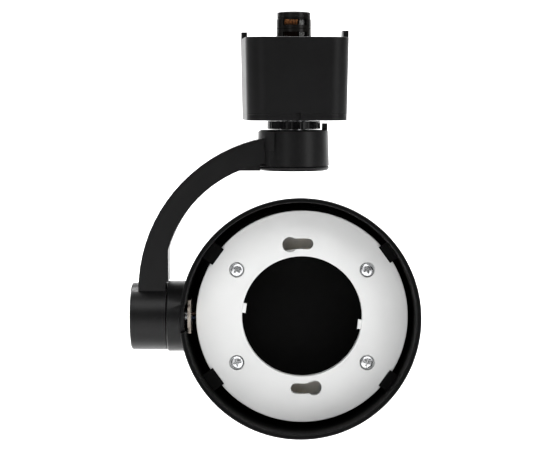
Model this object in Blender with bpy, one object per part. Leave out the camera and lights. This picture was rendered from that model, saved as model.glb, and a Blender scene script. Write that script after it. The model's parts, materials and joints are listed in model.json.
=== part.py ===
"""Track spotlight with a flat ring lampholder, hung from a ceiling track.

Three bodies hang below each other: the adapter that locks into the track, the curved arm that
swivels under it, and the round head that tilts on the end of the arm. The swivel axis is the Z
axis, and the face of the adapter that meets the track is at Z = 0. The head looks along -Y.
"""

import math

import bmesh
import bpy
from mathutils import Matrix, Vector

MM = 0.001
GAP = 0.3 * MM  # clearance between pieces that touch
OVERSHOOT = 1.0 * MM  # how far a cutter runs past the face that it opens
MERGE = 0.01 * MM  # points closer than this are one
SHARP = math.radians(35)  # edges that bend more stay crisp

FINE_STEPS = 48
ROUND_STEPS = 28
SMALL_STEPS = 16

# Adapter box
ADAPTER_TURN = math.radians(5.0)  # how the track lies at rest, about the swivel axis
BOX_WIDTH = 37.0 * MM
BOX_CORNER = 7.0 * MM
BOX_DRAFT = 0.55 * MM  # what each side draws in from top to bottom
BOX_HEIGHT = 29.5 * MM
BOX_WALL = 1.8 * MM
BOX_TOP = 2.2 * MM
LUG_HEIGHT = 2.4 * MM
LUG_THICK = 2.0 * MM
LUG_LENGTH = 5.6 * MM
COVER_THICK = 2.1 * MM
COVER_LIP = 2.0 * MM
NOTCH_WIDTH = 1.5 * MM
NOTCH_HEIGHT = 2.8 * MM
NOTCH_DEPTH = 0.8 * MM
COVER_SCREW_PLACE = 12.2 * MM
COVER_SCREW_LENGTH = 9.0 * MM
POST_RADIUS = 3.0 * MM

# Track plug
PLUG_RADIUS = 6.3 * MM
PLUG_RING_RADIUS = 6.1 * MM
PLUG_TOP = 7.7 * MM
PLUG_CAP_TOP = 9.6 * MM
PLUG_CAP_FLAT = 4.4 * MM
PLUG_CAP_ROUND = 0.5 * MM
PLUG_STEP = 0.4 * MM
PLUG_FLANGE_RADIUS = 9.0 * MM
PLUG_FLANGE_THICK = 2.0 * MM
PLUG_TAIL = 6.0 * MM  # length of the plug below the flange
WINDOW_WIDTH = 8.6 * MM
POCKET_WIDTH = 8.0 * MM
WINDOW_TOP = 6.9 * MM
CROSSBAR_LOW = 2.2 * MM
CROSSBAR_HIGH = 4.6 * MM
POCKET_OUTER = 4.2 * MM
POCKET_INNER = 0.6 * MM
CONTACT_WIDTH = 4.6 * MM
CONTACT_THICK = 0.6 * MM
CONTACT_PLACE = 3.0 * MM
CONTACT_REACH = 5.4 * MM
CONTACT_SIDE = -1.4 * MM
LEAF_WIDTH = 1.8 * MM
LEAF_THICK = 0.4 * MM
LEAF_SIDE = 2.5 * MM
TERMINAL_SIZE = 4.6 * MM
TERMINAL_HEIGHT = 6.0 * MM
TERMINAL_BORE = 1.3 * MM
TERMINAL_SCREW_PROUD = 0.8 * MM

# Swivel
NIPPLE_RADIUS = 5.0 * MM
NIPPLE_BORE = 3.4 * MM
NIPPLE_END = 0.9 * MM  # how far the nipple stands out of its nuts
NUT_HEIGHT = 3.0 * MM
NUT_WIDTH = 14.0 * MM
WASHER_THICK = 0.8 * MM
WASHER_RADIUS = 8.6 * MM
WAVE_RADIUS = 7.8 * MM
COLLAR_RADIUS = 9.7 * MM
COLLAR_HEIGHT = 2.9 * MM
STOP_RADIUS = 11.2 * MM
STOP_PIN_RADIUS = 1.0 * MM
STOP_PIN_ANGLE = math.radians(95.0)
STOP_PIN_DROP = 2.5 * MM

# Arm
BOSS_RADIUS_TOP = 12.5 * MM
BOSS_RADIUS_LOW = 12.9 * MM
BOSS_HEIGHT = 14.7 * MM
BOSS_WALL = 2.5 * MM
BOSS_FLOOR = 3.0 * MM
BOSS_EDGE = 0.4 * MM
BOSS_CAP_THICK = 1.4 * MM
BOSS_CAP_FILLET = 1.1 * MM
BOSS_CAP_LIP = 2.2 * MM
PAD_PROUD = 0.5 * MM
PAD_START = 7.0 * MM
PAD_HEIGHT = 7.2 * MM
TAB_RADIAL = 2.0 * MM
TAB_LENGTH = 3.0 * MM
TAB_HEIGHT = 2.4 * MM
ARM_HALF_DEPTH = 7.2 * MM
ARM_TOP_DROP = 1.8 * MM  # top of the bar's outer curve, below the top of the boss
BAR_WIDTH = 10.9 * MM  # width of the bar where it meets the hub
BAR_TOP_WIDTH = 12.15 * MM  # how much larger the outer curve is than the inner one
BAR_INNER_SHIFT = -3.0 * MM
BAR_INNER_RISE = 2.6 * MM
GUSSET_HALF_DEPTH = 5.2 * MM
CHANNEL_WIDTH = 4.0 * MM
CHANNEL_EDGE = 2.3 * MM  # wall between the channel and the bar's outer curve
CHANNEL_FLOOR = 0.6 * MM
STRIP_THICK = 1.2 * MM
STRIP_LEDGE = 0.8 * MM

# Tilt joint
TILT_DROP = 68.1 * MM  # tilt axis below the top of the boss
HUB_RADIUS = 12.35 * MM
HUB_REACH = 10.1 * MM  # from the joint face out to the bar's outer curve
HUB_LENGTH = 13.0 * MM
HUB_FILLET = 0.9 * MM
HUB_WALL = 2.5 * MM
HUB_FLOOR = 3.2 * MM
HUB_CAP_THICK = 1.2 * MM
HUB_CAP_LIP = 1.2 * MM
HUB_CAP_WALL = 1.0 * MM
HUB_CAP_EDGE = 0.3 * MM
STUB_RADIUS = 12.95 * MM
STUB_LENGTH = 5.3 * MM  # from the side of the head to the joint face
STUB_EDGE = 0.4 * MM
BOLT_RADIUS = 3.0 * MM
BOLT_BORE = 2.1 * MM
BOLT_END = 0.6 * MM
TILT_NUT_WIDTH = 11.0 * MM
TILT_NUT_HEIGHT = 2.8 * MM
TILT_WASHER_RADIUS = 6.8 * MM
TILT_WAVE_RADIUS = 6.2 * MM

# Head
HEAD_TILT = math.radians(3.7)  # how far the front looks up at rest
HEAD_SHIFT = 2.3 * MM  # head axis, sideways from the swivel axis
HEAD_RADIUS = 43.2 * MM
HEAD_DRAFT = 0.7 * MM
HEAD_FRONT = 17.0 * MM  # rim in front of the tilt axis
HEAD_BACK = 22.0 * MM
HEAD_FILLET = 7.0 * MM
HEAD_WALL = 1.7 * MM
HEAD_FLOOR = 2.0 * MM
RIM_ROUND = 0.5 * MM
SLOT_WIDTH = 10.0 * MM
TONGUE_PROUD = 0.35 * MM
TONGUE_FRONT = 12.0 * MM
PLATE_THICK = 1.1 * MM
PLATE_WIDTH = 12.0 * MM
PLATE_TONGUE = 7.3 * MM
PLATE_FRONT = 9.0 * MM
PLATE_BACK = 8.0 * MM
CLIP_LENGTH = 7.0 * MM
CLIP_THICK = 1.5 * MM
CLIP_REACH = 1.3 * MM
CLIP_ANGLE = math.radians(36.0)

# Lampholder
HOLDER_SHIFT = 0.75 * MM  # lampholder axis, sideways from the head axis
HOLDER_RADIUS = 38.7 * MM
HOLDER_RECESS = 14.5 * MM  # lampholder face behind the rim
HOLDER_HOLE = 21.9 * MM
FACE_THICK = 2.4 * MM
FACE_SKIRT = 1.2 * MM
FACE_SKIRT_WALL = 1.1 * MM
PIN_PITCH = 53.0 * MM
KEYHOLE_RADIUS = 2.8 * MM
KEYHOLE_SLOT = 3.9 * MM
KEYHOLE_START = math.radians(9.5)  # round end, from the head's middle line
KEYHOLE_END = math.radians(4.7)
KEY_TAB = 3.4 * MM
KEY_TAB_REACH = 1.3 * MM
KEY_TAB_SINK = 0.4 * MM
KEY_TAB_ANGLE = math.radians(-8.0)
BASE_CLEARANCE = 0.4 * MM
BASE_WALL = 1.2 * MM
BASE_DEPTH = 8.8 * MM
ENTRY_WIDTH = 6.0 * MM
ENTRY_DEPTH = 6.0 * MM
HOLDER_SCREW_X = 23.8 * MM
HOLDER_SCREW_Y = 16.95 * MM
SCREW_HEAD_RADIUS = 2.5 * MM
SCREW_HEAD_HEIGHT = 1.4 * MM
SCREW_SHANK = 1.45 * MM
HOLDER_SCREW_LENGTH = 18.0 * MM
LAMP_CONTACT_LENGTH = 12.0 * MM
LAMP_CONTACT_DEPTH = 4.0 * MM
LAMP_CONTACT_THICK = 0.5 * MM
LAMP_TAIL_WIDTH = 2.4 * MM
LAMP_TAIL_LENGTH = 12.0 * MM
LAMP_CONTACT_PLACE = PIN_PITCH / 2 + KEYHOLE_RADIUS + GAP + LAMP_CONTACT_THICK / 2

LEAD_RADIUS = 0.6 * MM
LEAD_SPREAD = 0.8 * MM

# Bends of the leads
NIPPLE_LEAD_BEND = 1.6 * MM  # above the nipple, and below the terminal
NIPPLE_LEAD_STRAIGHT = 2.0 * MM  # down inside the nipple
BOSS_LEAD_DROP = 0.6 * MM  # straight out of the nipple
BOSS_LEAD_NEAR = (-3.0 * MM, 1.0 * MM)
BOSS_LEAD_FAR = -8.3 * MM
BOSS_LEAD_RISE = 0.2 * MM
BOSS_LEAD_ENTRY = 0.4 * MM  # inside the wall of the boss, where a lead enters the channel
HUB_LEAD_BENDS = (0.6 * MM, 2.3 * MM)  # past the channel, into the hub
HUB_LEAD_DROPS = (0.9 * MM, 1.7 * MM)  # above and below the top of the tilt nut
HUB_LEAD_LOW = 3.0 * MM
NUT_LEAD_DROP = 0.5 * MM
HEAD_LEAD_BENDS = (-3.0 * MM, 0.4 * MM, 2.6 * MM, 4.4 * MM, 5.4 * MM)  # from the bolt's end
HEAD_LEAD_SPREADS = (1.0, 1.0, 1.1, 1.4, 2.2)
HEAD_LEAD_FRONT = 4.0 * MM  # behind the front of the lampholder's base
HEAD_LEAD_BACK = 1.5 * MM  # behind its back
HEAD_LEAD_LOOP = ((-24.0 * MM, 9.0 * MM), (-10.0 * MM, 23.5 * MM))

# Heights that follow from the sizes above
COVER_TOP = -BOX_HEIGHT + COVER_THICK
BODY_LOW = COVER_TOP + GAP
COLLAR_TOP = -BOX_HEIGHT - GAP
BOSS_TOP = COLLAR_TOP - COLLAR_HEIGHT - GAP
BOSS_LOW = BOSS_TOP - BOSS_HEIGHT
CAVITY_TOP = BOSS_TOP - BOSS_FLOOR
CAP_SEAM = BOSS_LOW + BOSS_CAP_THICK
TILT_Z = BOSS_TOP - TILT_DROP
HEAD_SIDE_X = HEAD_RADIUS - HEAD_SHIFT  # nearest side of the head, from the swivel axis
HUB_FACE = HEAD_SIDE_X + STUB_LENGTH  # joint face, from the swivel axis
ARM_RADIUS = HUB_FACE + HUB_REACH  # outer curve of the bar
ARM_DROP = ARM_RADIUS + ARM_TOP_DROP
BAR_INNER_RADIUS = ARM_RADIUS - BAR_TOP_WIDTH
ARM_CENTRE = Vector((0.0, BOSS_TOP - ARM_DROP))
INNER_CENTRE = ARM_CENTRE + Vector((BAR_INNER_SHIFT, BAR_INNER_RISE))
BAR_OUTER_X = ARM_CENTRE.x - ARM_RADIUS
BAR_INNER_X = BAR_OUTER_X + BAR_WIDTH
CHANNEL_OUTER = ARM_RADIUS - CHANNEL_EDGE
CHANNEL_INNER = CHANNEL_OUTER - CHANNEL_WIDTH
STRIP_SEAT = ARM_HALF_DEPTH - STRIP_THICK - GAP
CAVITY_RADIUS = BOSS_RADIUS_TOP - BOSS_WALL
HUB_END = HUB_FACE + HUB_LENGTH
HUB_CAVITY = HUB_RADIUS - HUB_WALL
HUB_CAVITY_FACE = HUB_FACE + HUB_FLOOR
HEAD_INNER = HEAD_RADIUS - HEAD_WALL
HOLDER_FACE = HEAD_FRONT - HOLDER_RECESS
BASE_FRONT = HOLDER_FACE - FACE_THICK - GAP
BASE_BACK = BASE_FRONT - BASE_DEPTH
BASE_OUTER = HOLDER_RADIUS - FACE_SKIRT_WALL - BASE_CLEARANCE
BASE_INNER = HOLDER_HOLE + FACE_SKIRT_WALL + BASE_CLEARANCE
PLATE_OUTER = math.sqrt(HEAD_INNER**2 - (PLATE_WIDTH / 2) ** 2) - GAP
PLATE_INNER = PLATE_OUTER - PLATE_THICK
SCREW_HOLE = SCREW_SHANK + GAP
SCREW_SEAT = HOLDER_FACE - SCREW_HEAD_HEIGHT - GAP


# Scene and objects


def clear_scene():
    for obj in list(bpy.data.objects):
        bpy.data.objects.remove(obj, do_unlink=True)


def new_collection(name):
    collection = bpy.data.collections.new(name)
    bpy.context.scene.collection.children.link(collection)
    return collection


def new_material(name, colour, roughness, metallic=0.0):
    material = bpy.data.materials.new(name)
    material.use_nodes = True
    material.diffuse_color = (*colour, 1.0)
    shader = material.node_tree.nodes["Principled BSDF"]
    shader.inputs["Base Color"].default_value = (*colour, 1.0)
    shader.inputs["Roughness"].default_value = roughness
    shader.inputs["Metallic"].default_value = metallic
    return material


def new_empty(name, parent=None, location=(0, 0, 0), rotation=(0, 0, 0)):
    empty = bpy.data.objects.new(name, None)
    empty.parent = parent
    empty.location = location
    empty.rotation_euler = rotation
    PARTS.objects.link(empty)
    return empty


def add_object(name, mesh, parent, material=None, location=(0, 0, 0), rotation=(0, 0, 0)):
    """A part when it has a material, and a hidden cutter or a joined shape when it has none."""
    obj = bpy.data.objects.new(name, mesh)
    obj.parent = parent
    obj.location = location
    obj.rotation_euler = rotation
    if material is None:
        CUTTERS.objects.link(obj)
        obj.hide_render = True
        obj.display_type = "WIRE"
    else:
        mesh.materials.append(material)
        PARTS.objects.link(obj)
    return obj


def mesh_of(name, shape):
    bmesh.ops.recalc_face_normals(shape, faces=shape.faces)
    mesh = bpy.data.meshes.new(name)
    shape.to_mesh(mesh)
    shape.free()
    return mesh


def block(name, low, high, parent, material=None, **place):
    """A box between two corners."""
    low = Vector(low)
    high = Vector(high)
    shape = bmesh.new()
    size = Matrix.Diagonal((*(high - low), 1.0))
    bmesh.ops.create_cube(shape, size=1.0, matrix=Matrix.Translation((low + high) / 2) @ size)
    return add_object(name, mesh_of(name, shape), parent, material, **place)


def prism(name, outline, low, high, parent, material=None, **place):
    """A flat outline in X and Y, extruded along Z from low to high."""
    shape = bmesh.new()
    corners = [shape.verts.new((x, y, low)) for x, y in outline]
    base = shape.faces.new(corners)
    made = bmesh.ops.extrude_face_region(shape, geom=[base])
    top = [item for item in made["geom"] if isinstance(item, bmesh.types.BMVert)]
    bmesh.ops.translate(shape, verts=top, vec=(0, 0, high - low))
    return add_object(name, mesh_of(name, shape), parent, material, **place)


def turned(name, profile, parent, material=None, steps=ROUND_STEPS, closed=False, **place):
    """A profile of (radius, height) turned about Z. It runs down its outer side, top to bottom."""
    shape = bmesh.new()
    points = [shape.verts.new((radius, 0, height)) for radius, height in profile]
    ends = zip(points, points[1:] + points[:1]) if closed else zip(points, points[1:])
    lines = [shape.edges.new((start, end)) for start, end in ends]
    bmesh.ops.spin(
        shape,
        geom=points + lines,
        cent=(0, 0, 0),
        axis=(0, 0, 1),
        angle=2 * math.pi,
        steps=steps,
        use_merge=True,
    )
    bmesh.ops.remove_doubles(shape, verts=shape.verts, dist=MERGE)
    mesh = mesh_of(name, shape)
    mesh.shade_smooth()
    mesh.set_sharp_from_angle(angle=SHARP)
    return add_object(name, mesh, parent, material, **place)


def ring(name, outer, inner, low, high, parent, material=None, steps=ROUND_STEPS, **place):
    profile = [(outer, high), (outer, low), (inner, low), (inner, high)]
    return turned(name, profile, parent, material, steps, closed=True, **place)


def rod(name, radius, low, high, parent, material=None, steps=SMALL_STEPS, **place):
    profile = [(0, high), (radius, high), (radius, low), (0, low)]
    return turned(name, profile, parent, material, steps, **place)


def combine(obj, other, operation, solver):
    boolean = obj.modifiers.new(f"{operation.title()} {other.name}", "BOOLEAN")
    boolean.operation = operation
    boolean.object = other
    boolean.solver = solver


def cut(obj, *cutters, solver="EXACT"):
    for cutter in cutters:
        combine(obj, cutter, "DIFFERENCE", solver)


def join(obj, *others, solver="EXACT"):
    for other in others:
        combine(obj, other, "UNION", solver)


def arc(centre, radius, start, end, steps):
    """Points on an arc, both ends included. Angles in radians."""
    points = []
    for step in range(steps + 1):
        angle = start + (end - start) * step / steps
        points.append((centre[0] + radius * math.cos(angle), centre[1] + radius * math.sin(angle)))
    return points


def rounded_square(width, corner, steps=6):
    """Outline of a square with round corners, centred on the origin."""
    outline = []
    reach = width / 2 - corner
    for quarter in range(4):
        middle = math.radians(45 + 90 * quarter)
        centre = (
            math.copysign(reach, math.cos(middle)),
            math.copysign(reach, math.sin(middle)),
        )
        start = math.radians(90 * quarter)
        outline += arc(centre, corner, start, start + math.pi / 2, steps)
    return outline


def hexagon(width):
    """Outline of a nut, by its width across the flats."""
    radius = width / math.sqrt(3)
    return arc((0, 0), radius, 0, math.radians(300), 5)


def nut(name, width, bore, low, high, parent, material, **place):
    obj = prism(name, hexagon(width), low, high, parent, material, **place)
    hole = rod(f"{name}_hole", bore, low - OVERSHOOT, high + OVERSHOOT, parent, **place)
    cut(obj, hole)
    return obj


def lead(name, route, parent, material):
    """A round lead along a smooth curve through the points of its route."""
    curve = bpy.data.curves.new(name, "CURVE")
    curve.dimensions = "3D"
    curve.bevel_depth = LEAD_RADIUS
    curve.bevel_resolution = 1
    curve.use_fill_caps = True
    points = smooth_route([Vector(point) for point in route])
    spline = curve.splines.new("POLY")
    spline.points.add(len(points) - 1)
    for target, point in zip(spline.points, points):
        target.co = (*point, 1.0)
    return add_object(name, curve, parent, material)


def smooth_route(route, pieces=2):
    """Points of a Catmull-Rom curve through a route."""
    padded = [route[0]] + route + [route[-1]]
    points = [route[0]]
    for before, start, end, after in zip(padded, padded[1:], padded[2:], padded[3:]):
        for piece in range(1, pieces + 1):
            t = piece / pieces
            pull = (end - before) * 0.5
            push = (after - start) * 0.5
            points.append(
                start * (2 * t**3 - 3 * t**2 + 1)
                + pull * (t**3 - 2 * t**2 + t)
                + end * (3 * t**2 - 2 * t**3)
                + push * (t**3 - t**2)
            )
    return points


def pan_screw(name, length, parent, material, location, rotation=(0, 0, 0)):
    """A pan-head screw whose seat is at its origin and whose shank runs down -Z."""
    rim = SCREW_HEAD_HEIGHT * 0.45
    profile = [
        (0, SCREW_HEAD_HEIGHT),
        (SCREW_HEAD_RADIUS * 0.6, SCREW_HEAD_HEIGHT * 0.94),
        (SCREW_HEAD_RADIUS * 0.9, SCREW_HEAD_HEIGHT * 0.74),
        (SCREW_HEAD_RADIUS, rim),
        (SCREW_HEAD_RADIUS, 0),
        (SCREW_SHANK, 0),
        (SCREW_SHANK, -length + SCREW_SHANK),
        (0, -length),
    ]
    screw = turned(
        name, profile, parent, material, SMALL_STEPS, location=location, rotation=rotation
    )
    arm = SCREW_HEAD_RADIUS * 0.55
    half = SCREW_HEAD_RADIUS * 0.13
    depth = SCREW_HEAD_HEIGHT * 0.5
    place = {"location": location, "rotation": rotation}
    top = SCREW_HEAD_HEIGHT + OVERSHOOT
    low = SCREW_HEAD_HEIGHT - depth
    along = block(f"{name}_cross_a", (-arm, -half, low), (arm, half, top), parent, **place)
    across = block(f"{name}_cross_b", (-half, -arm, low), (half, arm, top), parent, **place)
    cut(screw, along, across)
    return screw


# Adapter


def box_shell():
    """The drafted box without its hollow, top down."""
    shape = bmesh.new()
    rings = []
    for height in (0.0, BODY_LOW):
        width = BOX_WIDTH + 2 * BOX_DRAFT * height / BOX_HEIGHT
        outline = rounded_square(width, BOX_CORNER)
        rings.append([shape.verts.new((x, y, height)) for x, y in outline])
    shape.faces.new(rings[0])
    shape.faces.new(list(reversed(rings[1])))
    for upper, lower in zip(
        zip(rings[0], rings[0][1:] + rings[0][:1]), zip(rings[1], rings[1][1:] + rings[1][:1])
    ):
        shape.faces.new((upper[0], lower[0], lower[1], upper[1]))
    return mesh_of("adapter_body", shape)


def cover_screw_places():
    return ((COVER_SCREW_PLACE, COVER_SCREW_PLACE), (-COVER_SCREW_PLACE, -COVER_SCREW_PLACE))


def hollow_width():
    return BOX_WIDTH - 2 * BOX_DRAFT - 2 * BOX_WALL


def make_adapter_body(parent):
    body = add_object("adapter_body", box_shell(), parent, BLACK_PLASTIC)
    hollow = prism(
        "box_hollow",
        rounded_square(hollow_width(), BOX_CORNER - BOX_WALL),
        BODY_LOW - OVERSHOOT,
        -BOX_TOP,
        parent,
    )
    plug_hole = rod(
        "plug_hole", PLUG_RADIUS + GAP, -BOX_TOP - OVERSHOOT, OVERSHOOT, parent, steps=ROUND_STEPS
    )
    cut(body, hollow, plug_hole)
    edge = BOX_WIDTH / 2
    for side, name in ((-1, "rear_left"), (1, "front_right")):
        outer = side * edge
        inner = side * (edge - LUG_THICK)
        near = -side * (edge - BOX_CORNER - LUG_LENGTH)
        far = -side * (edge - BOX_CORNER)
        low = (min(outer, inner), min(near, far), -BOX_TOP / 2)
        high = (max(outer, inner), max(near, far), LUG_HEIGHT)
        join(body, block(f"lug_{name}", low, high, parent))
    for number, (x, y) in enumerate(cover_screw_places()):
        low = COVER_TOP + COVER_LIP + GAP
        post = rod(f"post_{number}", POST_RADIUS, low, -BOX_TOP / 2, parent, location=(x, y, 0))
        join(body, post)
        pilot_top = -BOX_HEIGHT + SCREW_HEAD_HEIGHT + COVER_SCREW_LENGTH + OVERSHOOT
        pilot = rod(
            f"pilot_{number}",
            SCREW_HOLE,
            low - OVERSHOOT,
            pilot_top,
            parent,
            steps=12,
            location=(x, y, 0),
        )
        cut(body, pilot)
    cut(body, front_notch("body_notch", parent))
    return body


def front_notch(name, parent):
    front = -BOX_WIDTH / 2 + BOX_DRAFT
    low = (-NOTCH_WIDTH / 2, front - OVERSHOOT, -BOX_HEIGHT - OVERSHOOT)
    high = (NOTCH_WIDTH / 2, front + NOTCH_DEPTH, -BOX_HEIGHT + NOTCH_HEIGHT)
    return block(name, low, high, parent)


def make_adapter_cover(parent):
    outline = rounded_square(BOX_WIDTH - 2 * BOX_DRAFT, BOX_CORNER)
    cover = prism("adapter_cover", outline, -BOX_HEIGHT, COVER_TOP, parent, BLACK_PLASTIC)
    lip_width = hollow_width() - 2 * GAP
    lip_corner = BOX_CORNER - BOX_WALL - GAP
    lip = prism(
        "cover_lip",
        rounded_square(lip_width, lip_corner),
        COVER_TOP - COVER_THICK / 2,
        COVER_TOP + COVER_LIP,
        parent,
    )
    lip_hollow = prism(
        "cover_lip_hollow",
        rounded_square(lip_width - 2 * BOX_WALL, lip_corner - BOX_WALL),
        COVER_TOP,
        COVER_TOP + COVER_LIP + OVERSHOOT,
        parent,
    )
    join(cover, lip)
    cut(cover, lip_hollow)
    for number, (x, y) in enumerate(cover_screw_places()):
        place = {"location": (x, y, 0), "steps": SMALL_STEPS}
        seat = -BOX_HEIGHT + SCREW_HEAD_HEIGHT + GAP
        pad = rod(
            f"cover_pad_{number}",
            POST_RADIUS,
            COVER_TOP - COVER_THICK / 4,
            COVER_TOP + COVER_LIP,
            parent,
            **place,
        )
        join(cover, pad)
        bore = SCREW_HEAD_RADIUS + GAP
        top = COVER_TOP + COVER_LIP + OVERSHOOT
        sink = rod(f"cover_sink_{number}", bore, -BOX_HEIGHT - OVERSHOOT, seat, parent, **place)
        hole = rod(f"cover_hole_{number}", SCREW_HOLE, seat - OVERSHOOT, top, parent, **place)
        cut(cover, sink, hole)
        pan_screw(
            f"cover_screw_{number + 1}",
            COVER_SCREW_LENGTH,
            parent,
            ZINC,
            (x, y, seat - GAP),
            (math.pi, 0, 0),
        )
    hole = NIPPLE_RADIUS + GAP
    low = -BOX_HEIGHT - OVERSHOOT
    cut(cover, rod("cover_nipple_hole", hole, low, COVER_TOP + OVERSHOOT, parent))
    pin_x = STOP_RADIUS * math.cos(STOP_PIN_ANGLE - ADAPTER_TURN)
    pin_y = STOP_RADIUS * math.sin(STOP_PIN_ANGLE - ADAPTER_TURN)
    socket = rod(
        "stop_pin_socket",
        STOP_PIN_RADIUS + GAP,
        low,
        COVER_TOP - COVER_THICK / 4,
        parent,
        steps=16,
        location=(pin_x, pin_y, 0),
    )
    cut(cover, socket, front_notch("cover_notch", parent))
    rod(
        "stop_pin",
        STOP_PIN_RADIUS,
        -BOX_HEIGHT - STOP_PIN_DROP,
        COVER_TOP - COVER_THICK / 4 - GAP,
        parent,
        STEEL,
        steps=16,
        location=(pin_x, pin_y, 0),
    )


def make_track_plug(parent):
    flange_top = -BOX_TOP - GAP
    flange_low = flange_top - PLUG_FLANGE_THICK
    tail = flange_low - PLUG_TAIL
    profile = [
        (0, PLUG_TOP),
        (PLUG_RING_RADIUS, PLUG_TOP),
        (PLUG_RING_RADIUS, WINDOW_TOP),
        (PLUG_RADIUS, WINDOW_TOP - PLUG_STEP),
        (PLUG_RADIUS, flange_top),
        (PLUG_FLANGE_RADIUS, flange_top),
        (PLUG_FLANGE_RADIUS, flange_low),
        (PLUG_RADIUS, flange_low),
        (PLUG_RADIUS, tail),
        (0, tail),
    ]
    plug = turned("track_plug", profile, parent, PLUG_BLACK)
    half = WINDOW_WIDTH / 2
    pocket_half = POCKET_WIDTH / 2
    for side, name in ((-1, "front"), (1, "rear")):
        inner = side * POCKET_INNER
        outer = side * POCKET_OUTER
        near = min(inner, outer)
        far = max(inner, outer)
        low = (-pocket_half, near, tail - OVERSHOOT)
        pocket = block(f"pocket_{name}", low, (pocket_half, far, WINDOW_TOP), parent)
        cut(plug, pocket)
        outside = side * (PLUG_RADIUS + OVERSHOOT)
        edges = (side * (POCKET_OUTER - OVERSHOOT), outside)
        for opening, (bottom, top) in enumerate(
            ((0.0, CROSSBAR_LOW), (CROSSBAR_HIGH, WINDOW_TOP))
        ):
            window = block(
                f"window_{name}_{opening}",
                (-half, min(edges), bottom),
                (half, max(edges), top),
                parent,
            )
            cut(plug, window)
    cap_low = PLUG_TOP + GAP
    turned(
        "plug_cap",
        [
            (0, PLUG_CAP_TOP),
            (PLUG_CAP_FLAT, PLUG_CAP_TOP),
            (PLUG_RING_RADIUS, PLUG_CAP_TOP - PLUG_CAP_ROUND),
            (PLUG_RING_RADIUS, cap_low),
            (0, cap_low),
        ],
        parent,
        PLUG_BLACK,
    )
    return tail


def make_contacts(parent, tail):
    """The copper contact, its leaf spring, terminal and terminal screw, on each side of the plug."""
    top = WINDOW_TOP - GAP
    low = tail - TERMINAL_HEIGHT
    for name, turn in (("live", 0.0), ("neutral", math.pi)):
        side = new_empty(f"side_{name}", parent, rotation=(0, 0, turn))
        left = CONTACT_SIDE - CONTACT_WIDTH / 2
        right = CONTACT_SIDE + CONTACT_WIDTH / 2
        face = -CONTACT_PLACE
        strip = block(
            f"contact_{name}",
            (left, face - CONTACT_THICK / 2, low),
            (right, face + CONTACT_THICK / 2, top),
            side,
            COPPER,
        )
        nose = block(
            f"contact_nose_{name}",
            (left, -CONTACT_REACH, top - CONTACT_THICK),
            (right, face, top),
            side,
        )
        join(strip, nose)
        leaf_front = face - CONTACT_THICK / 2 + GAP
        block(
            f"contact_spring_{name}",
            (LEAF_SIDE - LEAF_WIDTH / 2, leaf_front - LEAF_THICK, tail),
            (LEAF_SIDE + LEAF_WIDTH / 2, leaf_front, top),
            side,
            SPRING_STEEL,
        )
        block_front = face - CONTACT_THICK / 2 - GAP
        half = TERMINAL_SIZE / 2
        terminal = block(
            f"terminal_{name}",
            (CONTACT_SIDE - half, block_front - TERMINAL_SIZE, low),
            (CONTACT_SIDE + half, block_front, tail - GAP),
            side,
            BRASS,
        )
        middle = (low + tail - GAP) / 2
        place = {
            "location": (CONTACT_SIDE, block_front - TERMINAL_SIZE, middle),
            "rotation": (math.pi / 2, 0, 0),
        }
        depth = TERMINAL_SIZE * 0.5
        hole = rod(
            f"terminal_hole_{name}", TERMINAL_BORE, -depth, OVERSHOOT, side, steps=12, **place
        )
        cut(terminal, hole)
        rod(
            f"terminal_screw_{name}",
            TERMINAL_BORE - GAP,
            -depth + GAP,
            TERMINAL_SCREW_PROUD,
            side,
            ZINC,
            steps=12,
            **place,
        )
    return low


def make_swivel(parent):
    """The hollow nipple, its nuts and washers, and the collar between box and boss."""
    top_nut_low = COVER_TOP + GAP
    top_nut_high = top_nut_low + NUT_HEIGHT
    washer_top = CAVITY_TOP - GAP
    wave_top = washer_top - WASHER_THICK - GAP
    nut_top = wave_top - WASHER_THICK - GAP
    nut_low = nut_top - NUT_HEIGHT
    bore = NIPPLE_RADIUS + GAP
    low = nut_low - NIPPLE_END
    high = top_nut_high + NIPPLE_END
    ring("swivel_nipple", NIPPLE_RADIUS, NIPPLE_BORE, low, high, parent, ZINC, SMALL_STEPS)
    nut("nipple_nut_top", NUT_WIDTH, bore, top_nut_low, top_nut_high, parent, ZINC)
    nut("nipple_nut_bottom", NUT_WIDTH, bore, nut_low, nut_top, parent, ZINC)
    ring("swivel_washer", WASHER_RADIUS, bore, washer_top - WASHER_THICK, washer_top, parent, STEEL)
    ring(
        "swivel_spring_washer",
        WAVE_RADIUS,
        bore,
        wave_top - WASHER_THICK,
        wave_top,
        parent,
        SPRING_STEEL,
    )
    ring(
        "neck_collar",
        COLLAR_RADIUS,
        bore,
        COLLAR_TOP - COLLAR_HEIGHT,
        COLLAR_TOP,
        parent,
        GLOSS_BLACK,
    )
    return low, high


def make_adapter(parent):
    make_adapter_body(parent)
    make_adapter_cover(parent)
    tail = make_track_plug(parent)
    terminal_low = make_contacts(parent, tail)
    nipple_low, nipple_high = make_swivel(parent)
    start = terminal_low - GAP
    for name, side, material in (("live", -1, BROWN), ("neutral", 1, BLUE)):
        x = -side * CONTACT_SIDE
        y = side * (CONTACT_PLACE + TERMINAL_SIZE * 0.6)
        inside = side * LEAD_SPREAD
        route = (
            (x, y, start),
            (x, y * 0.9, start - NIPPLE_LEAD_BEND),
            (inside, y * 0.25, nipple_high + NIPPLE_LEAD_BEND),
            (inside, 0, nipple_high - NIPPLE_LEAD_STRAIGHT),
            (inside, 0, (nipple_low + nipple_high) / 2),
            (inside, 0, nipple_low + GAP),
        )
        lead(f"adapter_lead_{name}", route, parent, material)
    return nipple_low


# Arm


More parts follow.
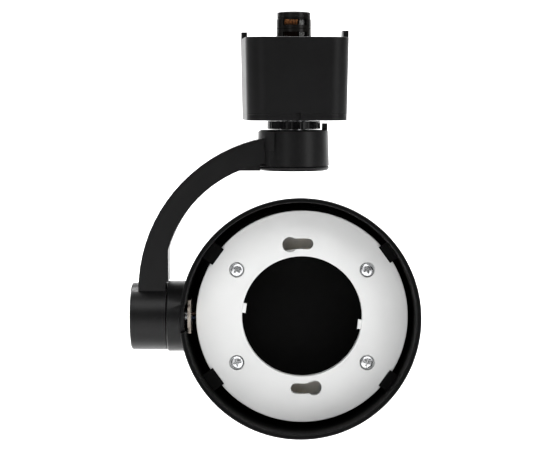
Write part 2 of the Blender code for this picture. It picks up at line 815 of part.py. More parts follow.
def bar_outline():
    """The curved bar in X and Z, from inside the boss to inside the hub."""
    foot = TILT_Z + HUB_CAVITY * 0.7
    start = math.acos(-CAVITY_RADIUS / ARM_RADIUS)
    above = max(foot - ARM_CENTRE.y, 0.0)
    outer = arc(ARM_CENTRE, ARM_RADIUS, start, math.pi - math.asin(above / ARM_RADIUS), 18)
    if foot < ARM_CENTRE.y:
        outer.append((BAR_OUTER_X, foot))
    rise = math.acos((INNER_CENTRE.x - BAR_INNER_X) / BAR_INNER_RADIUS)
    inner_start = math.acos(-(CAVITY_RADIUS + INNER_CENTRE.x) / BAR_INNER_RADIUS)
    inner = arc(INNER_CENTRE, BAR_INNER_RADIUS, math.pi - rise, inner_start, 16)
    shoulder = TILT_Z + STUB_RADIUS + GAP
    inside_hub = -HUB_FACE - GAP
    foot_corners = [
        (inside_hub, foot),
        (inside_hub, shoulder),
        (BAR_INNER_X, shoulder),
    ]
    return outer + foot_corners + inner


def channel_outline(inner, outer, start, foot):
    """A band along the bar, from an angle near the boss down to a height near the hub."""
    rise = max(foot - ARM_CENTRE.y, 0.0)
    outside = arc(ARM_CENTRE, outer, start, math.pi - math.asin(rise / outer), 16)
    inside = arc(ARM_CENTRE, inner, math.pi - math.asin(rise / inner), start, 16)
    if foot < ARM_CENTRE.y:
        outside.append((ARM_CENTRE.x - outer, foot))
        inside.insert(0, (ARM_CENTRE.x - inner, foot))
    return outside + inside


def arm_prism(name, outline, front, back, parent, material=None):
    """An outline in X and Z, extruded along Y from front to back."""
    rotation = (math.pi / 2, 0, 0)
    return prism(name, outline, -back, -front, parent, material, rotation=rotation)


def boss_shape(name, parent, material=None):
    low = CAP_SEAM + GAP
    profile = [
        (0, BOSS_TOP),
        (BOSS_RADIUS_TOP - BOSS_EDGE, BOSS_TOP),
        (BOSS_RADIUS_TOP, BOSS_TOP - BOSS_EDGE),
        (BOSS_RADIUS_LOW, low),
        (0, low),
    ]
    return turned(name, profile, parent, material)


def make_arm_casting(parent, hub_frame):
    arm = boss_shape("arm", parent, PAINTED_BLACK)
    bar = arm_prism("bar", bar_outline(), -ARM_HALF_DEPTH, ARM_HALF_DEPTH, parent)
    hub = turned(
        "hub",
        [
            (0, HUB_END),
            (HUB_RADIUS - HUB_FILLET, HUB_END),
            (HUB_RADIUS - HUB_FILLET * 0.3, HUB_END - HUB_FILLET * 0.3),
            (HUB_RADIUS, HUB_END - HUB_FILLET),
            (HUB_RADIUS, HUB_FACE),
            (0, HUB_FACE),
        ],
        hub_frame,
    )
    # The exact solver leaves open edges where so many shapes meet.
    join(arm, bar, hub, gusset(parent), boss_pad(parent), stop_tab(parent), solver="MANIFOLD")
    cavity = rod(
        "boss_cavity",
        CAVITY_RADIUS,
        BOSS_LOW - OVERSHOOT,
        CAVITY_TOP,
        parent,
        steps=ROUND_STEPS,
    )
    nipple_hole = rod(
        "boss_hole",
        NIPPLE_RADIUS + GAP,
        CAVITY_TOP - OVERSHOOT,
        BOSS_TOP + OVERSHOOT,
        parent,
    )
    hub_cavity = rod(
        "hub_cavity",
        HUB_CAVITY,
        HUB_CAVITY_FACE,
        HUB_END + OVERSHOOT,
        hub_frame,
        steps=ROUND_STEPS,
    )
    bolt_hole = rod(
        "hub_bolt_hole",
        BOLT_RADIUS + GAP,
        HUB_FACE - OVERSHOOT,
        HUB_CAVITY_FACE + OVERSHOOT,
        hub_frame,
    )
    cut(arm, cavity, nipple_hole, hub_cavity, bolt_hole, solver="MANIFOLD")
    make_channel(arm, parent)


def gusset(parent):
    """The web under the bar, level with the bottom of the boss."""
    drop = INNER_CENTRE.y - BOSS_LOW
    meet = INNER_CENTRE.x - math.sqrt(BAR_INNER_RADIUS**2 - drop**2)
    inside = BOSS_LOW + BOSS_CAP_THICK * 3
    outline = [
        (-CAVITY_RADIUS, BOSS_LOW),
        (-CAVITY_RADIUS, inside),
        (-BOSS_RADIUS_LOW - BOSS_WALL, inside),
        (meet, BOSS_LOW),
    ]
    web = arm_prism("gusset", outline, -GUSSET_HALF_DEPTH, GUSSET_HALF_DEPTH, parent)
    cap_room = rod(
        "cap_room",
        BOSS_RADIUS_LOW + GAP,
        BOSS_LOW - OVERSHOOT,
        CAP_SEAM + GAP * 1.5,
        parent,
        steps=ROUND_STEPS,
    )
    cut(web, cap_room)
    return web


def boss_pad(parent):
    """The thicker part of the boss where the bar starts."""
    radius = BOSS_RADIUS_TOP + PAD_PROUD
    half_turn = math.acos(PAD_START / radius)
    outline = arc((0, 0), radius, math.pi - half_turn, math.pi + half_turn, 12)
    return prism("boss_pad", outline, BOSS_TOP - PAD_HEIGHT, BOSS_TOP - PAD_PROUD, parent)


def stop_tab(parent):
    low = (STOP_RADIUS - TAB_RADIAL / 2, -TAB_LENGTH / 2, BOSS_TOP - BOSS_FLOOR / 2)
    high = (STOP_RADIUS + TAB_RADIAL / 2, TAB_LENGTH / 2, BOSS_TOP + TAB_HEIGHT)
    return block("stop_tab", low, high, parent)


def make_channel(arm, parent):
    """The lead channel in the back of the bar, with the strip that closes it."""
    into_boss = math.acos(-(CAVITY_RADIUS - OVERSHOOT) / CHANNEL_OUTER)
    into_hub = TILT_Z + HUB_CAVITY * 0.7
    channel = arm_prism(
        "channel",
        channel_outline(CHANNEL_INNER, CHANNEL_OUTER, into_boss, into_hub),
        CHANNEL_FLOOR,
        STRIP_SEAT + GAP / 2,
        parent,
    )
    ledge_inner = CHANNEL_INNER - STRIP_LEDGE
    ledge_outer = CHANNEL_OUTER + STRIP_LEDGE
    near_boss = math.acos(-(BOSS_RADIUS_LOW + PAD_PROUD + GAP) / ledge_outer)
    near_hub = TILT_Z + math.sqrt(HUB_RADIUS**2 - ARM_HALF_DEPTH**2) + GAP
    seat = arm_prism(
        "strip_seat",
        channel_outline(ledge_inner, ledge_outer, near_boss, near_hub),
        STRIP_SEAT,
        ARM_HALF_DEPTH + OVERSHOOT,
        parent,
    )
    cut(arm, channel, seat, solver="MANIFOLD")
    strip_outline = channel_outline(
        ledge_inner + GAP,
        ledge_outer - GAP,
        near_boss + GAP / ledge_inner,
        near_hub + GAP,
    )
    arm_prism("arm_back_strip", strip_outline, STRIP_SEAT + GAP, ARM_HALF_DEPTH, parent, BLACK_PLASTIC)


def make_boss_cap(parent):
    outer = BOSS_RADIUS_LOW
    lip = CAVITY_RADIUS - GAP
    corner = (outer - BOSS_CAP_FILLET, BOSS_LOW + BOSS_CAP_FILLET)
    fillet = arc(corner, BOSS_CAP_FILLET, 0, -math.pi / 2, 4)
    profile = [
        (0, CAP_SEAM),
        (lip - BOX_WALL, CAP_SEAM),
        (lip - BOX_WALL, CAP_SEAM + BOSS_CAP_LIP),
        (lip, CAP_SEAM + BOSS_CAP_LIP),
        (lip, CAP_SEAM),
        (outer, CAP_SEAM),
        *fillet,
        (0, BOSS_LOW),
    ]
    turned("boss_cap", profile, parent, BLACK_PLASTIC)


def make_hub_cap(parent):
    radius = HUB_CAVITY - GAP
    lip = radius - HUB_CAP_WALL
    top = HUB_END
    low = top - HUB_CAP_THICK
    profile = [
        (0, top),
        (radius - HUB_CAP_EDGE, top),
        (radius, top - HUB_CAP_EDGE),
        (radius, low - HUB_CAP_LIP),
        (lip, low - HUB_CAP_LIP),
        (lip, low),
        (0, low),
    ]
    turned("hub_cap", profile, parent, BLACK_PLASTIC)


def make_arm(parent, hub_frame, nipple_low):
    make_arm_casting(parent, hub_frame)
    make_boss_cap(parent)
    make_hub_cap(hub_frame)
    middle = (CHANNEL_INNER + CHANNEL_OUTER) / 2
    depth = (CHANNEL_FLOOR + STRIP_SEAT) / 2
    bend = BOSS_LOW + BOSS_CAP_THICK + BOSS_CAP_LIP + LEAD_RADIUS + GAP
    end_x = -HUB_END + HUB_CAP_THICK + LEAD_RADIUS * 2
    over_nut = (TILT_NUT_WIDTH / math.sqrt(3) + HUB_CAVITY) / 2 - NUT_LEAD_DROP
    start = math.acos(-(CAVITY_RADIUS - BOSS_LEAD_ENTRY) / middle)
    above = max(TILT_Z + over_nut + HUB_LEAD_DROPS[0] - ARM_CENTRE.y, 0.0)
    end = math.pi - math.asin(above / middle)
    for name, side, material in (("live", -1, BROWN), ("neutral", 1, BLUE)):
        offset = side * LEAD_SPREAD
        back = depth + offset
        route = [
            (0, offset, nipple_low - GAP),
            (0, offset, nipple_low - BOSS_LEAD_DROP),
            (BOSS_LEAD_NEAR[0], BOSS_LEAD_NEAR[1] + offset, bend),
            (BOSS_LEAD_FAR, depth * 0.8 + offset, bend + BOSS_LEAD_RISE),
        ]
        for x, z in arc(ARM_CENTRE, middle, start, end, 7):
            route.append((x, back, z))
        route += [
            (-middle - HUB_LEAD_BENDS[0], back, TILT_Z + over_nut + HUB_LEAD_DROPS[0]),
            (-middle - HUB_LEAD_BENDS[1], back, TILT_Z + over_nut),
            (end_x, back * 0.9, TILT_Z + over_nut - HUB_LEAD_DROPS[1]),
            (end_x, depth * 0.4 + offset, TILT_Z + HUB_LEAD_LOW),
            (end_x + LEAD_RADIUS, offset, TILT_Z),
        ]
        lead(f"arm_lead_{name}", route, parent, material)


# Head


def housing_side(offset, back):
    """Outer side of the head as (radius, forward), from the rim back to a corner at back."""
    low = HEAD_RADIUS - HEAD_DRAFT
    corner = (low - HEAD_FILLET, -back + HEAD_FILLET)
    points = [(HEAD_RADIUS + offset, HEAD_FRONT - RIM_ROUND)]
    points += arc(corner, HEAD_FILLET + offset, 0, -math.pi / 2, 6)
    return points


def make_housing(parent):
    inner_low = HEAD_INNER - HEAD_DRAFT
    inner_fillet = HEAD_FILLET - HEAD_FLOOR
    inner_corner = (inner_low - inner_fillet, -HEAD_BACK + HEAD_FLOOR + inner_fillet)
    profile = [
        (HEAD_RADIUS - RIM_ROUND, HEAD_FRONT),
        *housing_side(0, HEAD_BACK),
        (0, -HEAD_BACK),
        (0, -HEAD_BACK + HEAD_FLOOR),
        *arc(inner_corner, inner_fillet, -math.pi / 2, 0, 4),
        (HEAD_INNER, -PLATE_BACK - GAP),
        (HEAD_INNER, HEAD_FRONT),
    ]
    housing = turned("head_housing", profile, parent, PAINTED_BLACK, FINE_STEPS, closed=True)
    for number, (x, y) in enumerate(holder_screw_places()):
        place = {"location": (x + HOLDER_SHIFT, y, 0)}
        post_top = BASE_BACK - GAP
        post_low = -HEAD_BACK + HEAD_FLOOR / 2
        post = rod(f"housing_post_{number}", POST_RADIUS, post_low, post_top, parent, **place)
        join(housing, post)
        end = SCREW_SEAT - HOLDER_SCREW_LENGTH - OVERSHOOT
        pilot = rod(
            f"housing_pilot_{number}", SCREW_HOLE, end, post_top + OVERSHOOT, parent, steps=12, **place
        )
        cut(housing, pilot)
    for number in range(4):
        join(housing, clip(number, parent))
    cut_slot(housing, parent)
    return housing


def clip(number, parent):
    """A clip on the wall that reaches over the edge of the lampholder."""
    angle = CLIP_ANGLE if number % 2 == 0 else -CLIP_ANGLE
    if number > 1:
        angle += math.pi
    low = HOLDER_FACE + GAP
    edge = HOLDER_RADIUS + HOLDER_SHIFT * math.cos(angle)
    return block(
        f"clip_{number}",
        (edge - CLIP_REACH, -CLIP_LENGTH / 2, low),
        (HEAD_INNER + HEAD_WALL / 2, CLIP_LENGTH / 2, low + CLIP_THICK),
        parent,
        rotation=(0, 0, angle),
    )


def cut_slot(housing, parent):
    """The slot that lets the tongue of the pivot in from the rim, with its round end."""
    half = SLOT_WIDTH / 2
    outside = -HEAD_RADIUS - OVERSHOOT
    inside = -HEAD_INNER + HEAD_WALL * 1.5
    slot = block(
        "pivot_slot", (outside, -half, 0), (inside, half, HEAD_FRONT + OVERSHOOT), parent
    )
    round_end = rod(
        "pivot_slot_end",
        half,
        -inside,
        -outside,
        parent,
        steps=ROUND_STEPS,
        rotation=(0, -math.pi / 2, 0),
    )
    cut(housing, slot, round_end)


def make_stub(parent, head_frame):
    """The round spigot between hub and head, with a tongue that fills the slot of the head."""
    hub_side = HUB_FACE - GAP
    reach = HEAD_SIDE_X - HEAD_WALL + GAP
    stub = turned(
        "pivot_stub",
        [
            (0, hub_side),
            (STUB_RADIUS - STUB_EDGE, hub_side),
            (STUB_RADIUS, hub_side - STUB_EDGE),
            (STUB_RADIUS, reach - HEAD_WALL * 2),
            (0, reach - HEAD_WALL * 2),
        ],
        parent,
        PAINTED_BLACK,
    )
    saddle = turned(
        "stub_saddle",
        [
            (0, HEAD_FRONT + STUB_RADIUS),
            (HEAD_RADIUS + GAP, HEAD_FRONT + STUB_RADIUS),
            *housing_side(GAP, HEAD_BACK),
            (0, -HEAD_BACK - GAP),
        ],
        head_frame,
        steps=FINE_STEPS,
    )
    cut(stub, saddle)
    half = SLOT_WIDTH / 2 - GAP
    proud = HEAD_SIDE_X + TONGUE_PROUD
    tongue = rod("tongue_round", half, reach, proud + HEAD_WALL, parent, steps=ROUND_STEPS)
    to_front = (0, 0, -math.pi / 2)
    front = block(
        "tongue_front", (0, -half, reach), (TONGUE_FRONT, half, proud), parent, rotation=to_front
    )
    join(stub, tongue, front)
    hole = rod("stub_hole", BOLT_RADIUS + GAP, reach - OVERSHOOT, hub_side + OVERSHOOT, parent)
    cut(stub, hole)


def make_clamp_plate(parent):
    """The metal plate inside the wall that the tilt bolt pulls against."""
    half = PLATE_WIDTH / 2
    plate = block(
        "clamp_plate",
        (-PLATE_OUTER, -half, -PLATE_BACK),
        (-PLATE_INNER, half, half),
        parent,
        NICKEL,
    )
    tongue = block(
        "clamp_tongue",
        (-PLATE_OUTER, -PLATE_TONGUE / 2, 0),
        (-PLATE_INNER, PLATE_TONGUE / 2, PLATE_FRONT),
        parent,
    )
    join(plate, tongue)
    hole = rod(
        "clamp_hole",
        BOLT_RADIUS + GAP,
        PLATE_INNER - OVERSHOOT,
        PLATE_OUTER + OVERSHOOT,
        parent,
        rotation=(0, -math.pi / 2, 0),
    )
    cut(plate, hole)


def make_tilt_hardware(parent):
    """The hollow bolt with its nut and washers, which turn with the head inside the hub."""
    bore = BOLT_RADIUS + GAP
    washer_low = HUB_CAVITY_FACE + GAP
    wave_low = washer_low + WASHER_THICK + GAP
    nut_low = wave_low + WASHER_THICK + GAP
    nut_high = nut_low + TILT_NUT_HEIGHT
    inner_end = PLATE_INNER - HEAD_SHIFT
    outer_end = nut_high + BOLT_END
    ring("tilt_bolt", BOLT_RADIUS, BOLT_BORE, inner_end, outer_end, parent, ZINC, SMALL_STEPS)
    nut("tilt_nut", TILT_NUT_WIDTH, bore, nut_low, nut_high, parent, ZINC)
    ring(
        "tilt_washer",
        TILT_WASHER_RADIUS,
        bore,
        washer_low,
        washer_low + WASHER_THICK,
        parent,
        STEEL,
    )
    ring(
        "tilt_spring_washer",
        TILT_WAVE_RADIUS,
        bore,
        wave_low,
        wave_low + WASHER_THICK,
        parent,
        SPRING_STEEL,
    )
    return inner_end, outer_end


# Lampholder


def holder_screw_places():
    return [
        (side * HOLDER_SCREW_X, level * HOLDER_SCREW_Y) for side in (-1, 1) for level in (-1, 1)
    ]


def cut_keyhole(face, number, low, high, parent):
    """A round hole for the lamp's pin, with a slot that follows the pin circle."""
    circle = PIN_PITCH / 2
    turn = math.pi / 2 + number * math.pi
    start = turn + KEYHOLE_START
    end = turn - KEYHOLE_END
    half = KEYHOLE_SLOT / 2
    for name, radius, angle in (("round", KEYHOLE_RADIUS, start), ("end", half, end)):
        place = (circle * math.cos(angle), circle * math.sin(angle), 0)
        cut(face, rod(f"keyhole_{name}_{number}", radius, low, high, parent, location=place))
    band = arc((0, 0), circle - half, start, end, 5) + arc((0, 0), circle + half, end, start, 5)
    cut(face, prism(f"keyhole_slot_{number}", band, low, high, parent))


def make_lampholder_face(parent):
    back = HOLDER_FACE - FACE_THICK
    skirt_end = back - FACE_SKIRT
    outer = HOLDER_RADIUS
    inner = HOLDER_HOLE
    wall = FACE_SKIRT_WALL
    profile = [
        (outer, HOLDER_FACE),
        (outer, skirt_end),
        (outer - wall, skirt_end),
        (outer - wall, back),
        (inner + wall, back),
        (inner + wall, skirt_end),
        (inner, skirt_end),
        (inner, HOLDER_FACE),
    ]
    face = turned("lampholder_face", profile, parent, WHITE_PLASTIC, FINE_STEPS, closed=True)
    notch = block(
        "face_lead_notch",
        (-outer - OVERSHOOT, -ENTRY_WIDTH / 2, skirt_end - OVERSHOOT),
        (-outer + 2 * wall, ENTRY_WIDTH / 2, back),
        parent,
    )
    cut(face, notch, solver="MANIFOLD")
    top = HOLDER_FACE + OVERSHOOT
    for number, (x, y) in enumerate(holder_screw_places()):
        place = {"location": (x, y, 0)}
        sink = rod(f"face_sink_{number}", SCREW_HEAD_RADIUS + GAP, SCREW_SEAT, top, parent, **place)
        hole_low = back - OVERSHOOT
        hole = rod(f"face_hole_{number}", SCREW_HOLE, hole_low, top, parent, steps=12, **place)
        cut(face, sink, hole)
    for number, turn in enumerate((0.0, math.pi)):
        cut_keyhole(face, number, back - OVERSHOOT, top, parent)
        tab = block(
            f"key_tab_{number}",
            (inner - KEY_TAB_REACH, -KEY_TAB / 2, skirt_end + KEY_TAB_SINK),
            (inner + wall / 2, KEY_TAB / 2, HOLDER_FACE - KEY_TAB_SINK),
            parent,
            rotation=(0, 0, turn + KEY_TAB_ANGLE),
        )
        join(face, tab)
    return face


def make_lampholder_base(parent):
    floor = BASE_BACK + BASE_WALL
    profile = [
        (BASE_OUTER, BASE_FRONT),
        (BASE_OUTER, BASE_BACK),
        (BASE_INNER, BASE_BACK),
        (BASE_INNER, BASE_FRONT),
        (BASE_INNER + BASE_WALL, BASE_FRONT),
        (BASE_INNER + BASE_WALL, floor),
        (BASE_OUTER - BASE_WALL, floor),
        (BASE_OUTER - BASE_WALL, BASE_FRONT),
    ]
    base = turned("lampholder_base", profile, parent, WHITE_PLASTIC, FINE_STEPS, closed=True)
    for number, (x, y) in enumerate(holder_screw_places()):
        place = {"location": (x, y, 0)}
        tube_low = BASE_BACK + BASE_WALL / 2
        tube = rod(f"base_tube_{number}", POST_RADIUS, tube_low, BASE_FRONT, parent, **place)
        join(base, tube)
        ends = (BASE_BACK - OVERSHOOT, BASE_FRONT + OVERSHOOT)
        cut(base, rod(f"base_hole_{number}", SCREW_HOLE, *ends, parent, steps=12, **place))
    entry = block(
        "base_lead_entry",
        (-BASE_OUTER - OVERSHOOT, -ENTRY_WIDTH / 2, BASE_BACK - OVERSHOOT),
        (-BASE_OUTER + ENTRY_DEPTH, ENTRY_WIDTH / 2, BASE_FRONT + OVERSHOOT),
        parent,
    )
    cut(base, entry)
    half = LAMP_TAIL_WIDTH / 2 + GAP
    thick = LAMP_CONTACT_THICK / 2 + GAP
    for number, side in enumerate((1, -1)):
        y = side * LAMP_CONTACT_PLACE
        slot = block(
            f"tail_slot_{number}",
            (-half, y - thick, BASE_BACK - OVERSHOOT),
            (half, y + thick, floor + OVERSHOOT),
            parent,
        )
        cut(base, slot)
    return base


def make_lamp_contacts(parent):
    """A spring leaf beside each keyhole, with a tail through the back of the lampholder."""
    front = BASE_FRONT - GAP
    back = front - LAMP_CONTACT_DEPTH
    tail_end = front - LAMP_TAIL_LENGTH
    side_x = LAMP_CONTACT_LENGTH / 2
    tail_x = LAMP_TAIL_WIDTH / 2
    outline = [
        (-side_x, front),
        (-side_x, back),
        (-tail_x, back),
        (-tail_x, tail_end),
        (tail_x, tail_end),
        (tail_x, back),
        (side_x, back),
        (side_x, front),
    ]
    half = LAMP_CONTACT_THICK / 2
    for name, side in (("top", 1), ("bottom", -1)):
        prism(
            f"lamp_contact_{name}",
            outline,
            -half,
            half,
            parent,
            BRASS,
            location=(0, side * LAMP_CONTACT_PLACE, 0),
            rotation=(math.pi / 2, 0, 0),
        )
    return tail_end


def make_head(head_frame, holder_frame, pivot_frame):
    make_housing(head_frame)
    make_stub(pivot_frame, head_frame)
    make_clamp_plate(head_frame)
    bolt_inner, bolt_outer = make_tilt_hardware(pivot_frame)
    make_lampholder_face(holder_frame)
    make_lampholder_base(holder_frame)
    tail_end = make_lamp_contacts(holder_frame)
    for number, (x, y) in enumerate(holder_screw_places()):
        pan_screw(
            f"holder_screw_{number + 1}",
            HOLDER_SCREW_LENGTH,
            holder_frame,
            ZINC,
            (x, y, SCREW_SEAT + GAP),
        )
    level = tail_end - LEAD_RADIUS - GAP
    wall = -bolt_inner - HEAD_SHIFT
    low_side = -(BOLT_BORE - LEAD_RADIUS) * 0.6
    heights = (
        low_side / 2,
        low_side,
        low_side * 2,
        BASE_FRONT - HEAD_LEAD_FRONT,
        BASE_BACK - HEAD_LEAD_BACK,
    )
    for name, side, material in (("live", 1, BROWN), ("neutral", -1, BLUE)):
        offset = side * LEAD_SPREAD
        route = [
            (-bolt_outer - HEAD_SHIFT + GAP, offset, 0),
            (-HUB_FACE - HEAD_SHIFT, offset, 0),
        ]
        for bend, apart, height in zip(HEAD_LEAD_BENDS, HEAD_LEAD_SPREADS, heights):
            route.append((wall + bend, offset * apart, height))
        for x, y in HEAD_LEAD_LOOP:
            route.append((x, side * y, level))
        route.append((HOLDER_SHIFT, side * LAMP_CONTACT_PLACE, level))
        lead(f"head_lead_{name}", route, head_frame, material)


# The whole light

clear_scene()
PARTS = new_collection("track_spotlight")
CUTTERS = new_collection("cutters")

BLACK_PLASTIC = new_material("black_plastic", (0.022, 0.022, 0.024), 0.42)
GLOSS_BLACK = new_material("gloss_black", (0.014, 0.014, 0.016), 0.2)
PLUG_BLACK = new_material("plug_black", (0.02, 0.019, 0.018), 0.3)
PAINTED_BLACK = new_material("painted_black", (0.018, 0.018, 0.019), 0.5)
WHITE_PLASTIC = new_material("white_plastic", (0.86, 0.87, 0.88), 0.45)
ZINC = new_material("zinc", (0.72, 0.73, 0.74), 0.28, 1.0)
STEEL = new_material("steel", (0.55, 0.56, 0.58), 0.35, 1.0)
SPRING_STEEL = new_material("spring_steel", (0.75, 0.75, 0.74), 0.22, 1.0)
NICKEL = new_material("nickel", (0.72, 0.66, 0.58), 0.3, 1.0)
COPPER = new_material("copper", (0.72, 0.36, 0.16), 0.3, 1.0)
BRASS = new_material("brass", (0.76, 0.6, 0.3), 0.32, 1.0)
BROWN = new_material("brown_lead", (0.13, 0.055, 0.03), 0.5)
BLUE = new_material("blue_lead", (0.03, 0.1, 0.32), 0.5)

adapter_frame = new_empty("adapter_frame", rotation=(0, 0, ADAPTER_TURN))
swivel_axis = new_empty("swivel_axis")
# Z of the hub's frame runs along the tilt axis, out of the hub's free end.
to_hub_end = (0, -math.pi / 2, 0)
hub_axis = new_empty("hub_axis", swivel_axis, location=(0, 0, TILT_Z), rotation=to_hub_end)
tilt_axis = new_empty("tilt_axis", swivel_axis, location=(0, 0, TILT_Z), rotation=(-HEAD_TILT, 0, 0))
pivot_axis = new_empty("pivot_axis", tilt_axis, rotation=to_hub_end)
# Z of the head's frame points out of its front, and Y points up.
to_front = (math.pi / 2, 0, 0)
head_axis = new_empty("head_axis", tilt_axis, location=(HEAD_SHIFT, 0, 0), rotation=to_front)
holder_axis = new_empty("holder_axis", head_axis, location=(HOLDER_SHIFT, 0, 0))

nipple_low = make_adapter(adapter_frame)
make_arm(swivel_axis, hub_axis, nipple_low)
make_head(head_axis, holder_axis, pivot_axis)
bpy.context.view_layer.update()
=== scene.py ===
"""The looks of a track spotlight: materials, finer visible pieces, studio and camera.

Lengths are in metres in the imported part's frame: +Z up the swivel axis, -Y the way the head
looks. The head's own pieces are built about its axis and turned to face -Y.
"""

import json
import math

import bmesh
import bpy
from mathutils import Matrix, Vector


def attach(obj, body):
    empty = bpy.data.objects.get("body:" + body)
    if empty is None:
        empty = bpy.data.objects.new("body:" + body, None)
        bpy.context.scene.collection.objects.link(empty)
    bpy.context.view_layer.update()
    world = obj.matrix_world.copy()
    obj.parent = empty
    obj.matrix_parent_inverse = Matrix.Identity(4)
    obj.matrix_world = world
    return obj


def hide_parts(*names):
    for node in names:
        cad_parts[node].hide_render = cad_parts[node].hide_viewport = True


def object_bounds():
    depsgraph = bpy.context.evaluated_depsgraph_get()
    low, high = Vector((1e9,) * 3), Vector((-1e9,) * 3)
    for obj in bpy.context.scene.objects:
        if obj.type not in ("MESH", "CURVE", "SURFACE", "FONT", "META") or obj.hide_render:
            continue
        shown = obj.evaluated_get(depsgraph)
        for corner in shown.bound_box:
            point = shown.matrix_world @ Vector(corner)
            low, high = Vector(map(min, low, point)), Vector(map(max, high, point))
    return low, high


MM = 0.001

# Where the camera stands, and what it aims at
CAMERA_PLACE = Vector((-6.8, -582.2, -22.0)) * MM
CAMERA_AIM = Vector((-6.8, 0.0, -67.7)) * MM
CAMERA_LENS = 104.73  # in millimetres, like the sensor
SENSOR_WIDTH = 36.0
CAMERA_NEAR = 0.01
CAMERA_FAR = 20.0

# Floor and backdrop, one sheet seen from the side
FLOOR_DROP = 60.0 * MM  # how far it lies below the light
FLOOR_HALF_WIDTH = 3.0
FLOOR_FRONT = -1.6
SWEEP_START = 1.0
SWEEP_RADIUS = 0.8
SWEEP_STEPS = 16
BACKDROP_HEIGHT = 3.0
PAPER_DARK = (0.93, 0.93, 0.93)
PAPER_LIGHT = (0.95, 0.95, 0.95)
PAPER_CLOUDS = 6.0  # features per metre

# Soft boxes by name: azimuth in degrees from the front towards +X, height, distance, size,
# power, and the place that each aims at, from the middle of the object
LIGHTS = {
    "right_softbox": (50.0, 0.15, 1.0, (0.4, 1.2), 3.2, (0.0, 0.0, 0.0)),
    "left_softbox": (-24.0, 0.1, 1.1, (0.3, 1.1), 1.1, (0.0, 0.0, 0.0)),
    "top_softbox": (4.0, 0.95, 0.9, (1.3, 0.7), 8.0, (0.0, 0.0, 0.0)),
    "left_fill": (-80.0, 0.2, 1.2, (0.5, 1.0), 0.4, (0.0, 0.0, 0.0)),
    "backdrop_light": (180.0, 1.3, 0.45, (2.2, 0.6), 75.0, (0.0, 1.1, 0.0)),
}
WORLD_LIGHT = 0.08

# Steps round a turned piece, by its size
FINE_STEPS = 192
ROUND_STEPS = 96
SMALL_STEPS = 40

# Steps along an arc in a profile or an outline
COLLAR_EDGE_STEPS = 3
EDGE_STEPS = 4
RIM_STEPS = 5
SCREW_DOME_STEPS = 8
KEYHOLE_STEPS = 10
INNER_FILLET_STEPS = 10
BOX_CORNER_STEPS = 12
RIDGE_STEPS = 16
FILLET_STEPS = 16

MERGE = 0.001 * MM  # points closer than this are one
SMOOTH_STEP = 0.02 * MM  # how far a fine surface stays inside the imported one
PAST = 1.0 * MM  # how far a cutter runs past the face that it opens

# Shading, by how much an edge bends
CRISP_BEND = math.radians(32.0)  # more than this stays crisp on a finer piece
SOFT_BEND = math.radians(30.0)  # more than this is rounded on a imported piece
PACKED_FLAT_BEND = math.radians(1.0)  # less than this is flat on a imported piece
FINE_FLAT_BEND = math.radians(0.3)  # less than this is flat on a finer piece
BY_AREA = 100  # weight of the largest faces in a smooth normal

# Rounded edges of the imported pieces
SOFT_STEPS = 2
SMALL_EDGE = 0.08 * MM
EDGE_WIDTHS = {
    "arm": 0.4 * MM,
    "boss_cap": 0.15 * MM,
    "hub_cap": 0.3 * MM,
    "arm_back_strip": 0.15 * MM,
    "pivot_stub": 0.2 * MM,
}

# Head housing, in the head's frame: Z out of its front, Y up
HEAD_TILT = math.radians(3.7)
HEAD_SHIFT = 2.3 * MM
HEAD_RADIUS = 43.2 * MM
HEAD_DRAFT = 0.7 * MM
HEAD_FRONT = 17.0 * MM
HEAD_BACK = 22.0 * MM
HEAD_FILLET = 7.0 * MM
HEAD_WALL = 1.7 * MM
HEAD_FLOOR = 2.0 * MM
MID_FLOOR = -HEAD_BACK + HEAD_FLOOR / 2  # height halfway through the back wall
DRAFT_START = -8.3 * MM  # the inner wall narrows below this height
INSIDE_RADIUS = 41.55 * MM  # faces nearer the axis than this are inside the cup
RIM_OUTER_ROUND = 0.5 * MM
RIM_INNER_ROUND = 0.3 * MM
SLOT_WIDTH = 10.0 * MM
SLOT_DEPTH = 2.6 * MM
CLIP_PLAY = 0.3 * MM
CLIP_LENGTH = 7.0 * MM
CLIP_THICK = 1.5 * MM
CLIP_REACH = 1.3 * MM
CLIP_ANGLES = (36.0, 144.0, 216.0, 324.0)
POST_RADIUS = 3.0 * MM  # under the screws of the lampholder and of the cover
POST_TOP = -9.3 * MM

# Lampholder, about its own axis
HOLDER_SHIFT = 0.75 * MM
HOLDER_RADIUS = 38.7 * MM
HOLDER_HOLE = 21.9 * MM
HOLDER_FACE = 2.5 * MM
FACE_THICK = 2.4 * MM
FACE_SKIRT = 1.2 * MM
FACE_SKIRT_WALL = 1.1 * MM
FACE_EDGE = 0.35 * MM
PIN_CIRCLE = 26.5 * MM
KEYHOLE_RADIUS = 2.8 * MM
KEYHOLE_SLOT = 3.9 * MM
KEYHOLE_START = 9.5  # degrees from the keyhole's middle line to its round hole
KEYHOLE_END = 4.7  # and, the other way, to the end of its slot
KEYHOLE_TURNS = (90.0, 270.0)
KEY_TAB = 3.4 * MM
KEY_TAB_REACH = 1.3 * MM
KEY_TAB_SINK = 0.4 * MM
KEY_TAB_ANGLE = math.radians(-8.0)
ENTRY_WIDTH = 6.0 * MM
RIDGE_RADIUS = 23.1 * MM  # moulding lines beside the hole
RIDGE_WIDTH = 0.22 * MM
RIDGE_DEPTH = 0.18 * MM
RIDGE_ARCS = ((126.0, 156.0), (306.0, 336.0))
SCREW_X = 23.8 * MM
SCREW_Y = 16.95 * MM
SINK_RADIUS = 2.8 * MM
SINK_FLOOR = 0.8 * MM
SCREW_HOLE = 1.75 * MM
SCREW_SEAT = 1.1 * MM
SCREW_HEAD_RADIUS = 2.5 * MM
SCREW_HEAD_HEIGHT = 1.4 * MM
